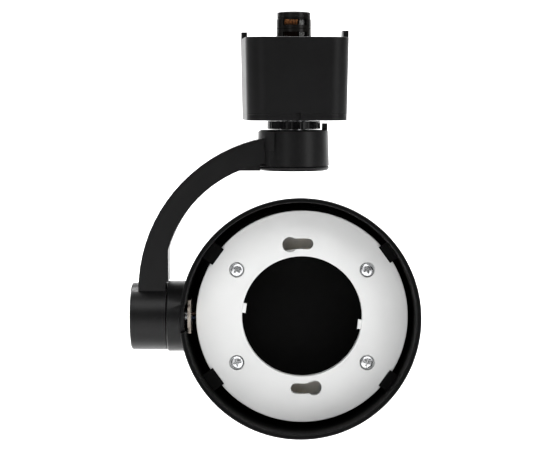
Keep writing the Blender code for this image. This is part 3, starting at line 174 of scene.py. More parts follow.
SCREW_SHANK = 1.45 * MM
SCREW_LENGTH = 18.0 * MM
SCREW_RIM = SCREW_HEAD_HEIGHT * 0.4  # upright edge below the domed part of the head
RECESS_REACH = SCREW_HEAD_RADIUS * 0.58
RECESS_HALF_WIDTH = SCREW_HEAD_RADIUS * 0.14
RECESS_FLOOR = SCREW_HEAD_HEIGHT * 0.35
SCREW_TURNS = (12.0, 48.0, 70.0, 25.0)  # how each cross recess came to rest

# Adapter box, about the swivel axis
ADAPTER_TURN = math.radians(5.0)
BOX_WIDTH = 37.0 * MM
BOX_CORNER = 7.0 * MM
BOX_DRAFT = 0.55 * MM
BOX_HEIGHT = 29.5 * MM
BOX_WALL = 1.8 * MM
BOX_TOP = 2.2 * MM
BOX_LOW = -27.35 * MM  # just above the cover, with no gap to see through
BOX_EDGE = 0.3 * MM
BOX_EDGE_STEPS = 3
LUG_HEIGHT = 2.4 * MM
LUG_THICK = 2.0 * MM
LUG_NEAR = 5.9 * MM
LUG_FAR = 11.5 * MM
COVER_TOP = -27.4 * MM
COVER_LIP = 2.0 * MM
LIP_PLAY = 0.3 * MM
COVER_SCREW_PLACE = 12.2 * MM
COVER_SEAT = -27.8 * MM
NIPPLE_HOLE = 5.3 * MM
STOP_PLACE = 11.2 * MM
STOP_HOLE = 1.3 * MM
STOP_FLOOR = -27.9 * MM
NOTCH_WIDTH = 1.5 * MM
NOTCH_TOP = -26.7 * MM
NOTCH_DEPTH = 0.8 * MM
PLUG_HOLE = 6.6 * MM

# Track plug
PLUG_RADIUS = 6.3 * MM
PLUG_NECK = 6.1 * MM
PLUG_TOP = 7.7 * MM
PLUG_SHOULDER = 6.9 * MM
PLUG_STEP = 0.4 * MM
PLUG_FLANGE_RADIUS = 9.0 * MM
PLUG_FLANGE_TOP = -2.5 * MM
PLUG_FLANGE_LOW = -4.5 * MM
PLUG_TAIL = -10.5 * MM
GROOVE_HEIGHTS = (7.3 * MM, 3.4 * MM)
GROOVE_HALF = 0.12 * MM
GROOVE_DEPTH = 0.15 * MM
POCKET_HALF = 4.0 * MM
POCKET_INNER = 0.6 * MM
POCKET_OUTER = 4.2 * MM
WINDOW_HALF = 4.3 * MM
WINDOW_HEIGHTS = ((0.0, 2.2 * MM), (4.6 * MM, 6.9 * MM))
CAP_TOP = 9.6 * MM
CAP_LOW = 7.8 * MM
CAP_FLAT = 4.4 * MM
CAP_RADIUS = 6.1 * MM
CAP_EDGE = 0.3 * MM
CAP_EDGE_START = 70.0  # degrees up from level, where the edge meets the sloping top

# Plug contacts: painted shade, the copper turned dark below a height where the contacts sit deep in
# the plug's windows
PAINTED_SHADE_HEIGHT = 5.6 * MM
PAINTED_SHADE_FADE = 1.0 * MM
PAINTED_SHADE_COLOUR = (0.03, 0.018, 0.014)

# Patterns in the materials: scales in features per metre, stretches by axis
DRIFT_SCALE = 60.0
CLOUD_SCALE = 250.0
MARK_SCALE = 3000.0
MARK_DEPTH = 0.002 * MM
PEEL_SIZE = 4  # how much coarser the orange peel is than the grain
ALONG_Z = (1.0, 1.0, 0.08)
EVERY_WAY = (1.0, 1.0, 1.0)

# Collar between box and boss
COLLAR_RADIUS = 9.7 * MM
COLLAR_BORE = 5.3 * MM
COLLAR_TOP = -29.8 * MM
COLLAR_LOW = -32.7 * MM
COLLAR_EDGE = 0.25 * MM
COLLAR_RIB = 0.07 * MM
RIB_PITCH = 4  # in steps of the turned collar
RIB_GROOVE = 2

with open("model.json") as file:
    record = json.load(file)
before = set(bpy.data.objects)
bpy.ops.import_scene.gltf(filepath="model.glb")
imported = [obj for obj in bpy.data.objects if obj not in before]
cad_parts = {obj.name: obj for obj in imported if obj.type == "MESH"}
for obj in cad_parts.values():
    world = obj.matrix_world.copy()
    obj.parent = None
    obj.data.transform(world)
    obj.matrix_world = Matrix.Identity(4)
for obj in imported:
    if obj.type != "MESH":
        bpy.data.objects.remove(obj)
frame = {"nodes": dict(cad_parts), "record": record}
CAD_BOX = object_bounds()


# Materials


def node_material(name):
    """A new material, with its node tree and its shader."""
    material = bpy.data.materials.new(name)
    material.use_nodes = True
    tree = material.node_tree
    return material, tree, tree.nodes["Principled BSDF"]


def noise(tree, scale, detail=3.0, roughness=0.5, stretch=(1.0, 1.0, 1.0)):
    """Noise fixed to the piece; scale is in features per metre."""
    place = tree.nodes.new("ShaderNodeTexCoord")
    mapping = tree.nodes.new("ShaderNodeMapping")
    mapping.inputs["Scale"].default_value = stretch
    texture = tree.nodes.new("ShaderNodeTexNoise")
    texture.inputs["Scale"].default_value = scale
    texture.inputs["Detail"].default_value = detail
    texture.inputs["Roughness"].default_value = roughness
    tree.links.new(place.outputs["Object"], mapping.inputs["Vector"])
    tree.links.new(mapping.outputs["Vector"], texture.inputs["Vector"])
    return texture.outputs["Fac"]


def spread(tree, value, low, high, start=0.3, end=0.7):
    """Maps a value between start and end to one between low and high."""
    node = tree.nodes.new("ShaderNodeMapRange")
    node.inputs["From Min"].default_value = start
    node.inputs["From Max"].default_value = end
    node.inputs["To Min"].default_value = low
    node.inputs["To Max"].default_value = high
    tree.links.new(value, node.inputs["Value"])
    return node.outputs["Result"]


def blend_colours(tree, factor, first, second):
    """Goes from the first colour to the second as the factor goes from 0 to 1."""
    node = tree.nodes.new("ShaderNodeMix")
    node.data_type = "RGBA"
    node.inputs["A"].default_value = (*first, 1.0)
    node.inputs["B"].default_value = (*second, 1.0)
    tree.links.new(factor, node.inputs["Factor"])
    return node.outputs["Result"]


def bump(tree, shader, layers):
    """Stacks bump layers of (height value, depth in metres) on the shader's normal."""
    normal = None
    for height, depth in layers:
        node = tree.nodes.new("ShaderNodeBump")
        node.inputs["Strength"].default_value = 1.0
        node.inputs["Distance"].default_value = depth
        tree.links.new(height, node.inputs["Height"])
        if normal is not None:
            tree.links.new(normal, node.inputs["Normal"])
        normal = node.outputs["Normal"]
    tree.links.new(normal, shader.inputs["Normal"])


def moulded(name, dark, light, gloss, grain, depth, specular=0.5):
    """A moulded or coated surface: slow colour drift, fine grain, and grain in the gloss.

    gloss is the range of its roughness, grain is in features per metre and depth is how deep
    the grain goes.
    """
    material, tree, shader = node_material(name)
    drift = noise(tree, DRIFT_SCALE, 4.0)
    fine = noise(tree, grain, 2.0, 0.6)
    colour = blend_colours(tree, spread(tree, drift, 0.0, 1.0), dark, light)
    tree.links.new(colour, shader.inputs["Base Color"])
    tree.links.new(spread(tree, fine, *gloss), shader.inputs["Roughness"])
    orange_peel = noise(tree, grain / PEEL_SIZE, 2.0)
    bump(tree, shader, ((fine, depth), (orange_peel, depth)))
    shader.inputs["Specular IOR Level"].default_value = specular
    return material


def metal(name, dark, light, gloss, stretch):
    """A plated or plain metal, clouded, with fine marks that run along the stretch."""
    material, tree, shader = node_material(name)
    marks = noise(tree, MARK_SCALE, 3.0, 0.6, stretch)
    cloud = noise(tree, CLOUD_SCALE, 3.0)
    colour = blend_colours(tree, spread(tree, cloud, 0.0, 1.0), dark, light)
    tree.links.new(colour, shader.inputs["Base Color"])
    tree.links.new(spread(tree, marks, *gloss), shader.inputs["Roughness"])
    bump(tree, shader, ((marks, MARK_DEPTH),))
    shader.inputs["Metallic"].default_value = 1.0
    return material


def painted_shade_below(material, height, dark):
    """Paints shade on a metal: darkens it smoothly below a height, where the piece sits in shade."""
    tree = material.node_tree
    shader = tree.nodes["Principled BSDF"]
    unshaded = shader.inputs["Base Color"].links[0].from_socket
    place = tree.nodes.new("ShaderNodeTexCoord")
    split = tree.nodes.new("ShaderNodeSeparateXYZ")
    tree.links.new(place.outputs["Object"], split.inputs["Vector"])
    rise = spread(tree, split.outputs["Z"], 0.0, 1.0, height - PAINTED_SHADE_FADE, height)
    # painted shade: dark below the height, the metal's own colour above it
    mix = tree.nodes.new("ShaderNodeMix")
    mix.data_type = "RGBA"
    mix.inputs["A"].default_value = (*dark, 1.0)
    tree.links.new(rise, mix.inputs["Factor"])
    tree.links.new(unshaded, mix.inputs["B"])
    tree.links.new(mix.outputs["Result"], shader.inputs["Base Color"])


MATERIALS = {
    "painted_black": moulded(
        "powder_coat", (0.0015, 0.0015, 0.0017), (0.003, 0.003, 0.0032),
        gloss=(0.28, 0.42), grain=2600.0, depth=0.008 * MM, specular=0.24,
    ),
    "black_plastic": moulded(
        "black_plastic", (0.0015, 0.0015, 0.0017), (0.003, 0.003, 0.0033),
        gloss=(0.36, 0.44), grain=3600.0, depth=0.003 * MM, specular=0.2,
    ),
    "gloss_black": moulded(
        "gloss_black", (0.003, 0.003, 0.0035), (0.005, 0.005, 0.0055),
        gloss=(0.1, 0.18), grain=900.0, depth=0.001 * MM, specular=0.2,
    ),
    "plug_black": moulded(
        "plug_black", (0.006, 0.0055, 0.005), (0.011, 0.010, 0.009),
        gloss=(0.16, 0.26), grain=1500.0, depth=0.002 * MM, specular=0.2,
    ),
    "white_plastic": moulded(
        "white_plastic", (0.77, 0.775, 0.77), (0.81, 0.815, 0.81),
        gloss=(0.38, 0.5), grain=3000.0, depth=0.003 * MM,
    ),
    # painted shade: a duller, darker-looking copy of the powder coat for the faces inside the cup
    "shaded_cup_inside": moulded(
        "shaded_cup_inside", (0.0022, 0.0022, 0.0022), (0.0034, 0.0034, 0.0034),
        gloss=(0.5, 0.62), grain=2600.0, depth=0.008 * MM, specular=0.05,
    ),
    "zinc": metal("zinc_plate", (0.66, 0.67, 0.69), (0.80, 0.81, 0.82), (0.16, 0.34), EVERY_WAY),
    "steel": metal("plain_steel", (0.45, 0.46, 0.48), (0.62, 0.63, 0.64), (0.25, 0.45), EVERY_WAY),
    "spring_steel": metal("spring_steel", (0.66, 0.66, 0.65), (0.82, 0.82, 0.8), (0.12, 0.3), ALONG_Z),
    "nickel": metal("nickel_plate", (0.56, 0.49, 0.42), (0.74, 0.67, 0.58), (0.2, 0.4), ALONG_Z),
    "copper": metal("copper", (0.34, 0.13, 0.05), (0.52, 0.24, 0.1), (0.18, 0.36), ALONG_Z),
    "brass": metal("brass", (0.62, 0.45, 0.2), (0.8, 0.64, 0.34), (0.18, 0.36), ALONG_Z),
    "brown_lead": moulded(
        "brown_lead", (0.03, 0.012, 0.007), (0.05, 0.02, 0.011),
        gloss=(0.4, 0.55), grain=2500.0, depth=0.004 * MM,
    ),
    "blue_lead": moulded(
        "blue_lead", (0.006, 0.014, 0.04), (0.012, 0.026, 0.07),
        gloss=(0.4, 0.55), grain=2500.0, depth=0.004 * MM,
    ),
}
# painted shade on the plug's contacts: dark below a height, low in the plug's windows
painted_shade_below(MATERIALS["copper"], PAINTED_SHADE_HEIGHT, PAINTED_SHADE_COLOUR)


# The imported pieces: each keeps its shape and gets its material and softened edges


def even_shading(obj, keep_sharp):
    """Turns smooth normals towards the large faces, so that those look flat."""
    shade = obj.modifiers.new("shade", "WEIGHTED_NORMAL")
    shade.weight = BY_AREA
    shade.keep_sharp = keep_sharp


def soften(obj, width):
    """Rounds the edges of a piece and shades it smoothly between them."""
    bevel = obj.modifiers.new("edges", "BEVEL")
    bevel.width = width
    bevel.segments = SOFT_STEPS
    bevel.limit_method = "ANGLE"
    bevel.angle_limit = SOFT_BEND
    bevel.use_clamp_overlap = True
    even_shading(obj, keep_sharp=False)


def dress(name, slot_name):
    """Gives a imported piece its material, whole flat faces and soft edges."""
    node = frame["nodes"][name]
    node.data.materials.clear()
    node.data.materials.append(MATERIALS[slot_name])
    node.data.shade_smooth()
    weld = node.modifiers.new("weld", "WELD")
    weld.merge_threshold = MERGE
    flat = node.modifiers.new("flat", "DECIMATE")
    flat.decimate_type = "DISSOLVE"
    flat.angle_limit = PACKED_FLAT_BEND
    soften(node, EDGE_WIDTHS.get(name, SMALL_EDGE))


for row in frame["record"]["subparts"]:
    dress(row["node"], row["material_slot"])


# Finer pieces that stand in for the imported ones


def add_object(name, data):
    """A new object in the scene, of a mesh, a light or a camera."""
    obj = bpy.data.objects.new(name, data)
    bpy.context.scene.collection.objects.link(obj)
    return obj


def finish_shape(name, shape, place):
    """Makes an object of a shape and puts it where the matrix says."""
    bmesh.ops.remove_doubles(shape, verts=shape.verts, dist=MERGE)
    bmesh.ops.recalc_face_normals(shape, faces=shape.faces)
    shape.transform(place)
    mesh = bpy.data.meshes.new(name)
    shape.to_mesh(mesh)
    shape.free()
    mesh.shade_smooth()
    return add_object(name, mesh)


def turn_profile(profile, steps, closed=False):
    """A profile of (radius, height) turned about Z."""
    shape = bmesh.new()
    points = [shape.verts.new((radius, 0.0, height)) for radius, height in profile]
    ends = list(zip(points, points[1:]))
    if closed:
        ends.append((points[-1], points[0]))
    lines = [shape.edges.new(pair) for pair in ends]
    bmesh.ops.spin(
        shape,
        geom=points + lines,
        cent=(0, 0, 0),
        axis=(0, 0, 1),
        angle=2 * math.pi,
        steps=steps,
        use_merge=True,
    )
    return shape


def turned(name, profile, steps, place, closed=False):
    """A turned piece; a closed profile is a whole section, an open one starts and ends on Z."""
    return finish_shape(name, turn_profile(profile, steps, closed), place)


def rod(name, radius, low, high, steps, place):
    """A cylinder about Z between two heights."""
    profile = ((0.0, high), (radius, high), (radius, low), (0.0, low))
    return turned(name, profile, steps, place)


def block(name, low, high, place):
    """A box between its lowest and its highest corner."""
    low = Vector(low)
    high = Vector(high)
    shape = bmesh.new()
    size = Matrix.Diagonal((*(high - low), 1.0))
    bmesh.ops.create_cube(shape, size=1.0, matrix=Matrix.Translation((low + high) / 2) @ size)
    return finish_shape(name, shape, place)


def prism(name, outline, low, high, place):
    """An outline of (x, y) points, drawn up from one height to another."""
    shape = bmesh.new()
    base = shape.faces.new([shape.verts.new((x, y, low)) for x, y in outline])
    made = bmesh.ops.extrude_face_region(shape, geom=[base])
    top = [item for item in made["geom"] if isinstance(item, bmesh.types.BMVert)]
    bmesh.ops.translate(shape, verts=top, vec=(0, 0, high - low))
    return finish_shape(name, shape, place)


def arc(centre, radius, start, end, steps):
    """Points on an arc, both ends included; angles in degrees."""
    points = []
    for step in range(steps + 1):
        angle = math.radians(start + (end - start) * step / steps)
        points.append((centre[0] + radius * math.cos(angle), centre[1] + radius * math.sin(angle)))
    return points


def combine(obj, others, operation):
    """Joins or cuts the others with a Boolean, keeps the result and removes the others."""
    for other in others:
        boolean = obj.modifiers.new(other.name, "BOOLEAN")
        boolean.operation = operation
        boolean.object = other
        boolean.solver = "EXACT"
    bpy.context.view_layer.update()
    graph = bpy.context.evaluated_depsgraph_get()
    mesh = bpy.data.meshes.new_from_object(obj.evaluated_get(graph))
    obj.modifiers.clear()
    obj.data = mesh
    for other in others:
        bpy.data.objects.remove(other, do_unlink=True)


def merge_flats(mesh):
    """Turns the slivers that a Boolean leaves on flat faces back into whole faces."""
    shape = bmesh.new()
    shape.from_mesh(mesh)
    bmesh.ops.remove_doubles(shape, verts=shape.verts, dist=MERGE)
    bmesh.ops.dissolve_limit(
        shape, angle_limit=FINE_FLAT_BEND, verts=shape.verts, edges=shape.edges
    )
    shape.to_mesh(mesh)
    shape.free()


def stand_in(obj, body, slot_name, nodes):
    """Gives a finer piece its material and shading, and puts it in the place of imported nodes."""
    merge_flats(obj.data)
    obj.data.materials.clear()
    obj.data.materials.append(MATERIALS[slot_name])
    obj.data.shade_smooth()
    obj.data.set_sharp_from_angle(angle=CRISP_BEND)
    even_shading(obj, keep_sharp=True)
    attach(obj, body)
    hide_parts(*nodes)


def joint_height(name):
    """Height of a joint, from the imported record."""
    for joint in frame["record"]["behaviour"]["joints"]:
        if joint["name"] == name:
            return joint["pos_m"][2]
    raise ValueError(name)


def head_frame():
    """Place of the head's axis: Z out of its front, Y up."""
    lift = Matrix.Translation((0.0, 0.0, joint_height("tilt")))
    tip = Matrix.Rotation(-HEAD_TILT, 4, "X")
    side = Matrix.Translation((HEAD_SHIFT, 0.0, 0.0))
    return lift @ tip @ side @ Matrix.Rotation(math.pi / 2, 4, "X")


def screw_places():
    """Where the four screws stand, about the lampholder's axis."""
    return [(side * SCREW_X, level * SCREW_Y) for side in (-1, 1) for level in (-1, 1)]


def housing_profile():
    """Section of the cup: over its rim, down the outside to the axis and up the inside."""
    radius = HEAD_RADIUS - SMOOTH_STEP
    front = HEAD_FRONT - SMOOTH_STEP
    back = -HEAD_BACK + SMOOTH_STEP
    low = radius - HEAD_DRAFT
    inner = HEAD_RADIUS - HEAD_WALL
    inner_low = inner - HEAD_DRAFT
    inner_fillet = HEAD_FILLET - HEAD_FLOOR
    inner_corner = (inner_low - inner_fillet, -HEAD_BACK + HEAD_FLOOR + inner_fillet)
    outer_edge = (radius - RIM_OUTER_ROUND, front - RIM_OUTER_ROUND)
    inner_edge = (inner + RIM_INNER_ROUND, front - RIM_INNER_ROUND)
    return [
        *arc(inner_edge, RIM_INNER_ROUND, 180, 90, EDGE_STEPS),
        *arc(outer_edge, RIM_OUTER_ROUND, 90, 0, RIM_STEPS),
        *arc((low - HEAD_FILLET, back + HEAD_FILLET), HEAD_FILLET, 0, -90, FILLET_STEPS),
        (0.0, back),
        (0.0, -HEAD_BACK + HEAD_FLOOR),
        *arc(inner_corner, inner_fillet, -90, 0, INNER_FILLET_STEPS),
        (inner, DRAFT_START),
    ]


def housing_clip(angle, head):
    """A clip on the wall that reaches over the edge of the lampholder."""
    turn = math.radians(angle)
    edge = HOLDER_RADIUS + HOLDER_SHIFT * math.cos(turn)
    clip_low = HOLDER_FACE + CLIP_PLAY
    low = (edge - CLIP_REACH, -CLIP_LENGTH / 2, clip_low)
    high = (HEAD_RADIUS - HEAD_WALL / 2, CLIP_LENGTH / 2, clip_low + CLIP_THICK)
    return block("clip", low, high, head @ Matrix.Rotation(turn, 4, "Z"))


def paint_inside(housing, head):
    """Gives the faces inside the cup a duller copy of the coat, with less reflection, as painted shade
    for the shade inside the cup.
    """
    housing.data.materials.append(MATERIALS["shaded_cup_inside"])
    to_head = head.inverted()
    for face in housing.data.polygons:
        centre = to_head @ face.center
        if centre.xy.length < INSIDE_RADIUS and centre.z > MID_FLOOR:
            face.material_index = 1


def make_housing(head):
    """The turned cup of the head, with its clips, screw posts and the slot for the pivot."""
    housing = turned("fine_housing", housing_profile(), FINE_STEPS, head, closed=True)
    added = []
    for x, y in screw_places():
        place = head @ Matrix.Translation((x + HOLDER_SHIFT, y, 0.0))
        added.append(rod("post", POST_RADIUS, MID_FLOOR, POST_TOP, SMALL_STEPS, place))
    added += [housing_clip(angle, head) for angle in CLIP_ANGLES]
    combine(housing, added, "UNION")
    half = SLOT_WIDTH / 2
    outside = -HEAD_RADIUS - PAST
    inside = -HEAD_RADIUS + HEAD_WALL + SLOT_DEPTH
    slot = block("slot", (outside, -half, 0.0), (inside, half, HEAD_FRONT + PAST), head)
    across = head @ Matrix.Rotation(-math.pi / 2, 4, "Y")
    round_end = rod("slot_end", half, -inside, -outside, ROUND_STEPS, across)
    combine(housing, [slot, round_end], "DIFFERENCE")
    stand_in(housing, "head", "painted_black", ["head_housing"])
    paint_inside(housing, head)


def face_profile():
    """Section of the white ring: its rounded face and the skirts behind both edges."""
    face = HOLDER_FACE
    back = face - FACE_THICK
    skirt = back - FACE_SKIRT
    outer = HOLDER_RADIUS - SMOOTH_STEP
    inner = HOLDER_HOLE + SMOOTH_STEP
    return [
        *arc((inner + FACE_EDGE, face - FACE_EDGE), FACE_EDGE, 180, 90, EDGE_STEPS),
        *arc((outer - FACE_EDGE, face - FACE_EDGE), FACE_EDGE, 90, 0, EDGE_STEPS),
        (outer, skirt),
        (outer - FACE_SKIRT_WALL, skirt),
        (outer - FACE_SKIRT_WALL, back),
        (inner + FACE_SKIRT_WALL, back),
        (inner + FACE_SKIRT_WALL, skirt),
        (inner, skirt),
    ]


def band(radius, half, start, end, steps):
    """A curved strip about the origin, by its middle radius and half its width."""
    outside = arc((0.0, 0.0), radius + half, start, end, steps)
    inside = arc((0.0, 0.0), radius - half, end, start, steps)
    return outside + inside


def keyhole_cutters(turn, holder):
    """The round hole and the slot of one lamp pin, whose middle line is at the turn in degrees."""
    low = HOLDER_FACE - FACE_THICK - PAST
    high = HOLDER_FACE + PAST
    start = turn + KEYHOLE_START
    end = turn - KEYHOLE_END
    half = KEYHOLE_SLOT / 2
    outline = band(PIN_CIRCLE, half, start, end, KEYHOLE_STEPS)
    cutters = [prism("key_slot", outline, low, high, holder)]
    for radius, angle in ((KEYHOLE_RADIUS, start), (half, end)):
        about_axis = Matrix.Rotation(math.radians(angle), 4, "Z")
        place = holder @ about_axis @ Matrix.Translation((PIN_CIRCLE, 0.0, 0.0))
        cutters.append(rod("key_round", radius, low, high, SMALL_STEPS, place))
    return cutters


def key_tab(turn, skirt, holder):
    """A small tab on the edge of the ring's hole."""
    low = (HOLDER_HOLE - KEY_TAB_REACH, -KEY_TAB / 2, skirt + KEY_TAB_SINK)
    high = (HOLDER_HOLE + FACE_SKIRT_WALL / 2, KEY_TAB / 2, HOLDER_FACE - KEY_TAB_SINK)
    place = holder @ Matrix.Rotation(turn + KEY_TAB_ANGLE, 4, "Z")
    return block("key_tab", low, high, place)


def make_face(holder):
    """The white ring that the lamp locks into."""
    face = turned("fine_lampholder_face", face_profile(), FINE_STEPS, holder, closed=True)
    skirt = HOLDER_FACE - FACE_THICK - FACE_SKIRT
    combine(face, [key_tab(turn, skirt, holder) for turn in (0.0, math.pi)], "UNION")
    high = HOLDER_FACE + PAST
    cutters = []
    for turn in KEYHOLE_TURNS:
        cutters += keyhole_cutters(turn, holder)
    for x, y in screw_places():
        place = holder @ Matrix.Translation((x, y, 0.0))
        cutters.append(rod("sink", SINK_RADIUS, SINK_FLOOR, high, SMALL_STEPS, place))
        cutters.append(rod("screw_hole", SCREW_HOLE, skirt, high, SMALL_STEPS, place))
    for start, end in RIDGE_ARCS:
        outline = band(RIDGE_RADIUS, RIDGE_WIDTH / 2, start, end, RIDGE_STEPS)
        cutters.append(prism("line", outline, HOLDER_FACE - RIDGE_DEPTH, high, holder))
    low = (-HOLDER_RADIUS - PAST, -ENTRY_WIDTH / 2, skirt - PAST)
    notch_high = (-HOLDER_RADIUS + 2 * FACE_SKIRT_WALL, ENTRY_WIDTH / 2, HOLDER_FACE - FACE_THICK)
    cutters.append(block("lead_notch", low, notch_high, holder))
    combine(face, cutters, "DIFFERENCE")
    stand_in(face, "head", "white_plastic", ["lampholder_face"])


def make_screw(number, x, y, turn, holder):
    """A pan-head screw with a cross recess."""
    dome = SCREW_HEAD_HEIGHT - SCREW_RIM
    curve = []
    for step in range(SCREW_DOME_STEPS + 1):
        angle = math.pi / 2 * step / SCREW_DOME_STEPS
        curve.append((SCREW_HEAD_RADIUS * math.sin(angle), SCREW_RIM + dome * math.cos(angle)))
    profile = [
        *curve,
        (SCREW_HEAD_RADIUS, 0.0),
        (SCREW_SHANK, 0.0),
        (SCREW_SHANK, -SCREW_LENGTH + SCREW_SHANK),
        (0.0, -SCREW_LENGTH),
    ]
    place = holder @ Matrix.Translation((x, y, SCREW_SEAT))
    screw = turned(f"fine_holder_screw_{number}", profile, SMALL_STEPS, place)
    high = SCREW_HEAD_HEIGHT + PAST
    spun = place @ Matrix.Rotation(math.radians(turn), 4, "Z")
    recess = [
        block("recess", (-reach, -half, RECESS_FLOOR), (reach, half, high), spun)
        for reach, half in ((RECESS_REACH, RECESS_HALF_WIDTH), (RECESS_HALF_WIDTH, RECESS_REACH))
    ]
    combine(screw, recess, "DIFFERENCE")
    stand_in(screw, "head", "zinc", [f"holder_screw_{number}"])


def rounded_square(width, corner):
    """Outline of a square with round corners, centred on the origin."""
    reach = width / 2 - corner
    outline = []
    for x, y, start in ((1, 1, 0), (-1, 1, 90), (-1, -1, 180), (1, -1, 270)):
        outline += arc((x * reach, y * reach), corner, start, start + 90, BOX_CORNER_STEPS)
    return outline


def loft(name, rings, place):
    """A closed skin over rounded squares of (width, corner, height), one after another."""
    shape = bmesh.new()
    loops = []
    for width, corner, height in rings:
        outline = rounded_square(width, corner)
        loops.append([shape.verts.new((x, y, height)) for x, y in outline])
    shape.faces.new(loops[0])
    shape.faces.new(loops[-1])
    for first, second in zip(loops, loops[1:]):
        for i, vertex in enumerate(first):
            after = (i + 1) % len(first)
            shape.faces.new((vertex, first[after], second[after], second[i]))
    return finish_shape(name, shape, place)


def edge_rings(width, corner, height, direction):
    """Rings that round the edge of a box, from its flat face down (-1) or up (1) its side."""
    rings = []
    for step in range(BOX_EDGE_STEPS + 1):
        angle = math.pi / 2 * step / BOX_EDGE_STEPS
        inset = BOX_EDGE * (1 - math.sin(angle))
        along = BOX_EDGE * (1 - math.cos(angle))
        rings.append((width - 2 * inset, corner - inset, height + direction * along))
    return rings


def front_notch(adapter):
    """The cutter of the pry notch in the front of the box and its cover."""
    front = -BOX_WIDTH / 2 + BOX_DRAFT
    low = (-NOTCH_WIDTH / 2, front - PAST, -BOX_HEIGHT - PAST)
    high = (NOTCH_WIDTH / 2, front + NOTCH_DEPTH, NOTCH_TOP)
    return block("notch", low, high, adapter)


def corner_place(side, adapter):
    """Where the cover's screw stands in one corner of the box."""
    reach = side * COVER_SCREW_PLACE
    return adapter @ Matrix.Translation((reach, reach, 0.0))


def make_box(adapter):
    """The drafted, hollow box with its two corner lugs."""
    low_width = BOX_WIDTH + 2 * BOX_DRAFT * BOX_LOW / BOX_HEIGHT
    hollow = BOX_WIDTH - 2 * BOX_DRAFT - 2 * BOX_WALL
    rings = edge_rings(BOX_WIDTH, BOX_CORNER, 0.0, -1)
    rings += [
        (low_width, BOX_CORNER, BOX_LOW),
        (hollow, BOX_CORNER - BOX_WALL, BOX_LOW),
        (hollow, BOX_CORNER - BOX_WALL, -BOX_TOP),
    ]
    box = loft("fine_adapter_body", rings, adapter)
    edge = BOX_WIDTH / 2 - SMOOTH_STEP
    added = []
    for side in (-1, 1):
        xs = sorted((side * edge, side * (edge - LUG_THICK)))
        ys = sorted((-side * LUG_NEAR, -side * LUG_FAR))
        low = (xs[0], ys[0], -BOX_TOP / 2)
        added.append(block("lug", low, (xs[1], ys[1], LUG_HEIGHT), adapter))
        place = corner_place(side, adapter)
        foot = COVER_TOP + COVER_LIP
        added.append(rod("post", POST_RADIUS, foot, -BOX_TOP / 2, SMALL_STEPS, place))
    combine(box, added, "UNION")
    hole = rod("plug_hole", PLUG_HOLE, -BOX_TOP - PAST, PAST, ROUND_STEPS, adapter)
    combine(box, [hole, front_notch(adapter)], "DIFFERENCE")
    stand_in(box, "adapter", "black_plastic", ["adapter_body"])


def make_cover(adapter):
    """The plate that closes the box, with its lip, screw sinks and the hole for the nipple."""
    width = BOX_WIDTH - 2 * BOX_DRAFT
    lip = width - 2 * BOX_WALL - 2 * LIP_PLAY
    corner = BOX_CORNER - BOX_WALL - LIP_PLAY
    rings = edge_rings(width, BOX_CORNER, -BOX_HEIGHT, 1)
    rings += [
        (width, BOX_CORNER, COVER_TOP),
        (lip, corner, COVER_TOP),
        (lip, corner, COVER_TOP + COVER_LIP),
        (lip - 2 * BOX_WALL, corner - BOX_WALL, COVER_TOP + COVER_LIP),
        (lip - 2 * BOX_WALL, corner - BOX_WALL, COVER_TOP),
    ]
    cover = loft("fine_adapter_cover", rings, adapter)
    low = -BOX_HEIGHT - PAST
    high = COVER_TOP + PAST
    pin_place = adapter @ Matrix.Translation((0.0, STOP_PLACE, 0.0))
    cutters = [
        front_notch(adapter),
        rod("nipple_hole", NIPPLE_HOLE, low, high, ROUND_STEPS, adapter),
        rod("pin_hole", STOP_HOLE, low, STOP_FLOOR, SMALL_STEPS, pin_place),
    ]
    for side in (-1, 1):
        place = corner_place(side, adapter)
        cutters.append(rod("sink", SINK_RADIUS, low, COVER_SEAT, SMALL_STEPS, place))
        cutters.append(rod("screw_hole", SCREW_HOLE, low, high, SMALL_STEPS, place))
    combine(cover, cutters, "DIFFERENCE")
    stand_in(cover, "adapter", "black_plastic", ["adapter_cover"])


def groove(radius, height):
    """A fine V-shaped line round a turned piece, top to bottom."""
    return [
        (radius, height + GROOVE_HALF),
        (radius - GROOVE_DEPTH, height),
        (radius, height - GROOVE_HALF),
    ]


def plug_profile():
    """Half section of the plug, top to bottom: neck, body, flange in the box, and tail."""
    neck_groove, body_groove = GROOVE_HEIGHTS
    return [
        (0.0, PLUG_TOP),
        (PLUG_NECK, PLUG_TOP),
        *groove(PLUG_NECK, neck_groove),
        (PLUG_NECK, PLUG_SHOULDER),
        (PLUG_RADIUS, PLUG_SHOULDER - PLUG_STEP),
        *groove(PLUG_RADIUS, body_groove),
        (PLUG_RADIUS, PLUG_FLANGE_TOP),
        (PLUG_FLANGE_RADIUS, PLUG_FLANGE_TOP),
        (PLUG_FLANGE_RADIUS, PLUG_FLANGE_LOW),
        (PLUG_RADIUS, PLUG_FLANGE_LOW),
        (PLUG_RADIUS, PLUG_TAIL),
        (0.0, PLUG_TAIL),
    ]


def make_plug(adapter):
    """The round plug with a pocket and two windows for each contact."""
    plug = turned("fine_track_plug", plug_profile(), ROUND_STEPS, adapter)
    cutters = []
    for side in (-1, 1):
        ys = sorted((side * POCKET_INNER, side * POCKET_OUTER))
        low = (-POCKET_HALF, ys[0], PLUG_TAIL - PAST)
        cutters.append(block("pocket", low, (POCKET_HALF, ys[1], PLUG_SHOULDER), adapter))
        ys = sorted((side * (POCKET_OUTER - PAST), side * (PLUG_RADIUS + PAST)))
        for bottom, top in WINDOW_HEIGHTS:
            low = (-WINDOW_HALF, ys[0], bottom)
            cutters.append(block("window", low, (WINDOW_HALF, ys[1], top), adapter))
    combine(plug, cutters, "DIFFERENCE")
    stand_in(plug, "adapter", "plug_black", ["track_plug"])


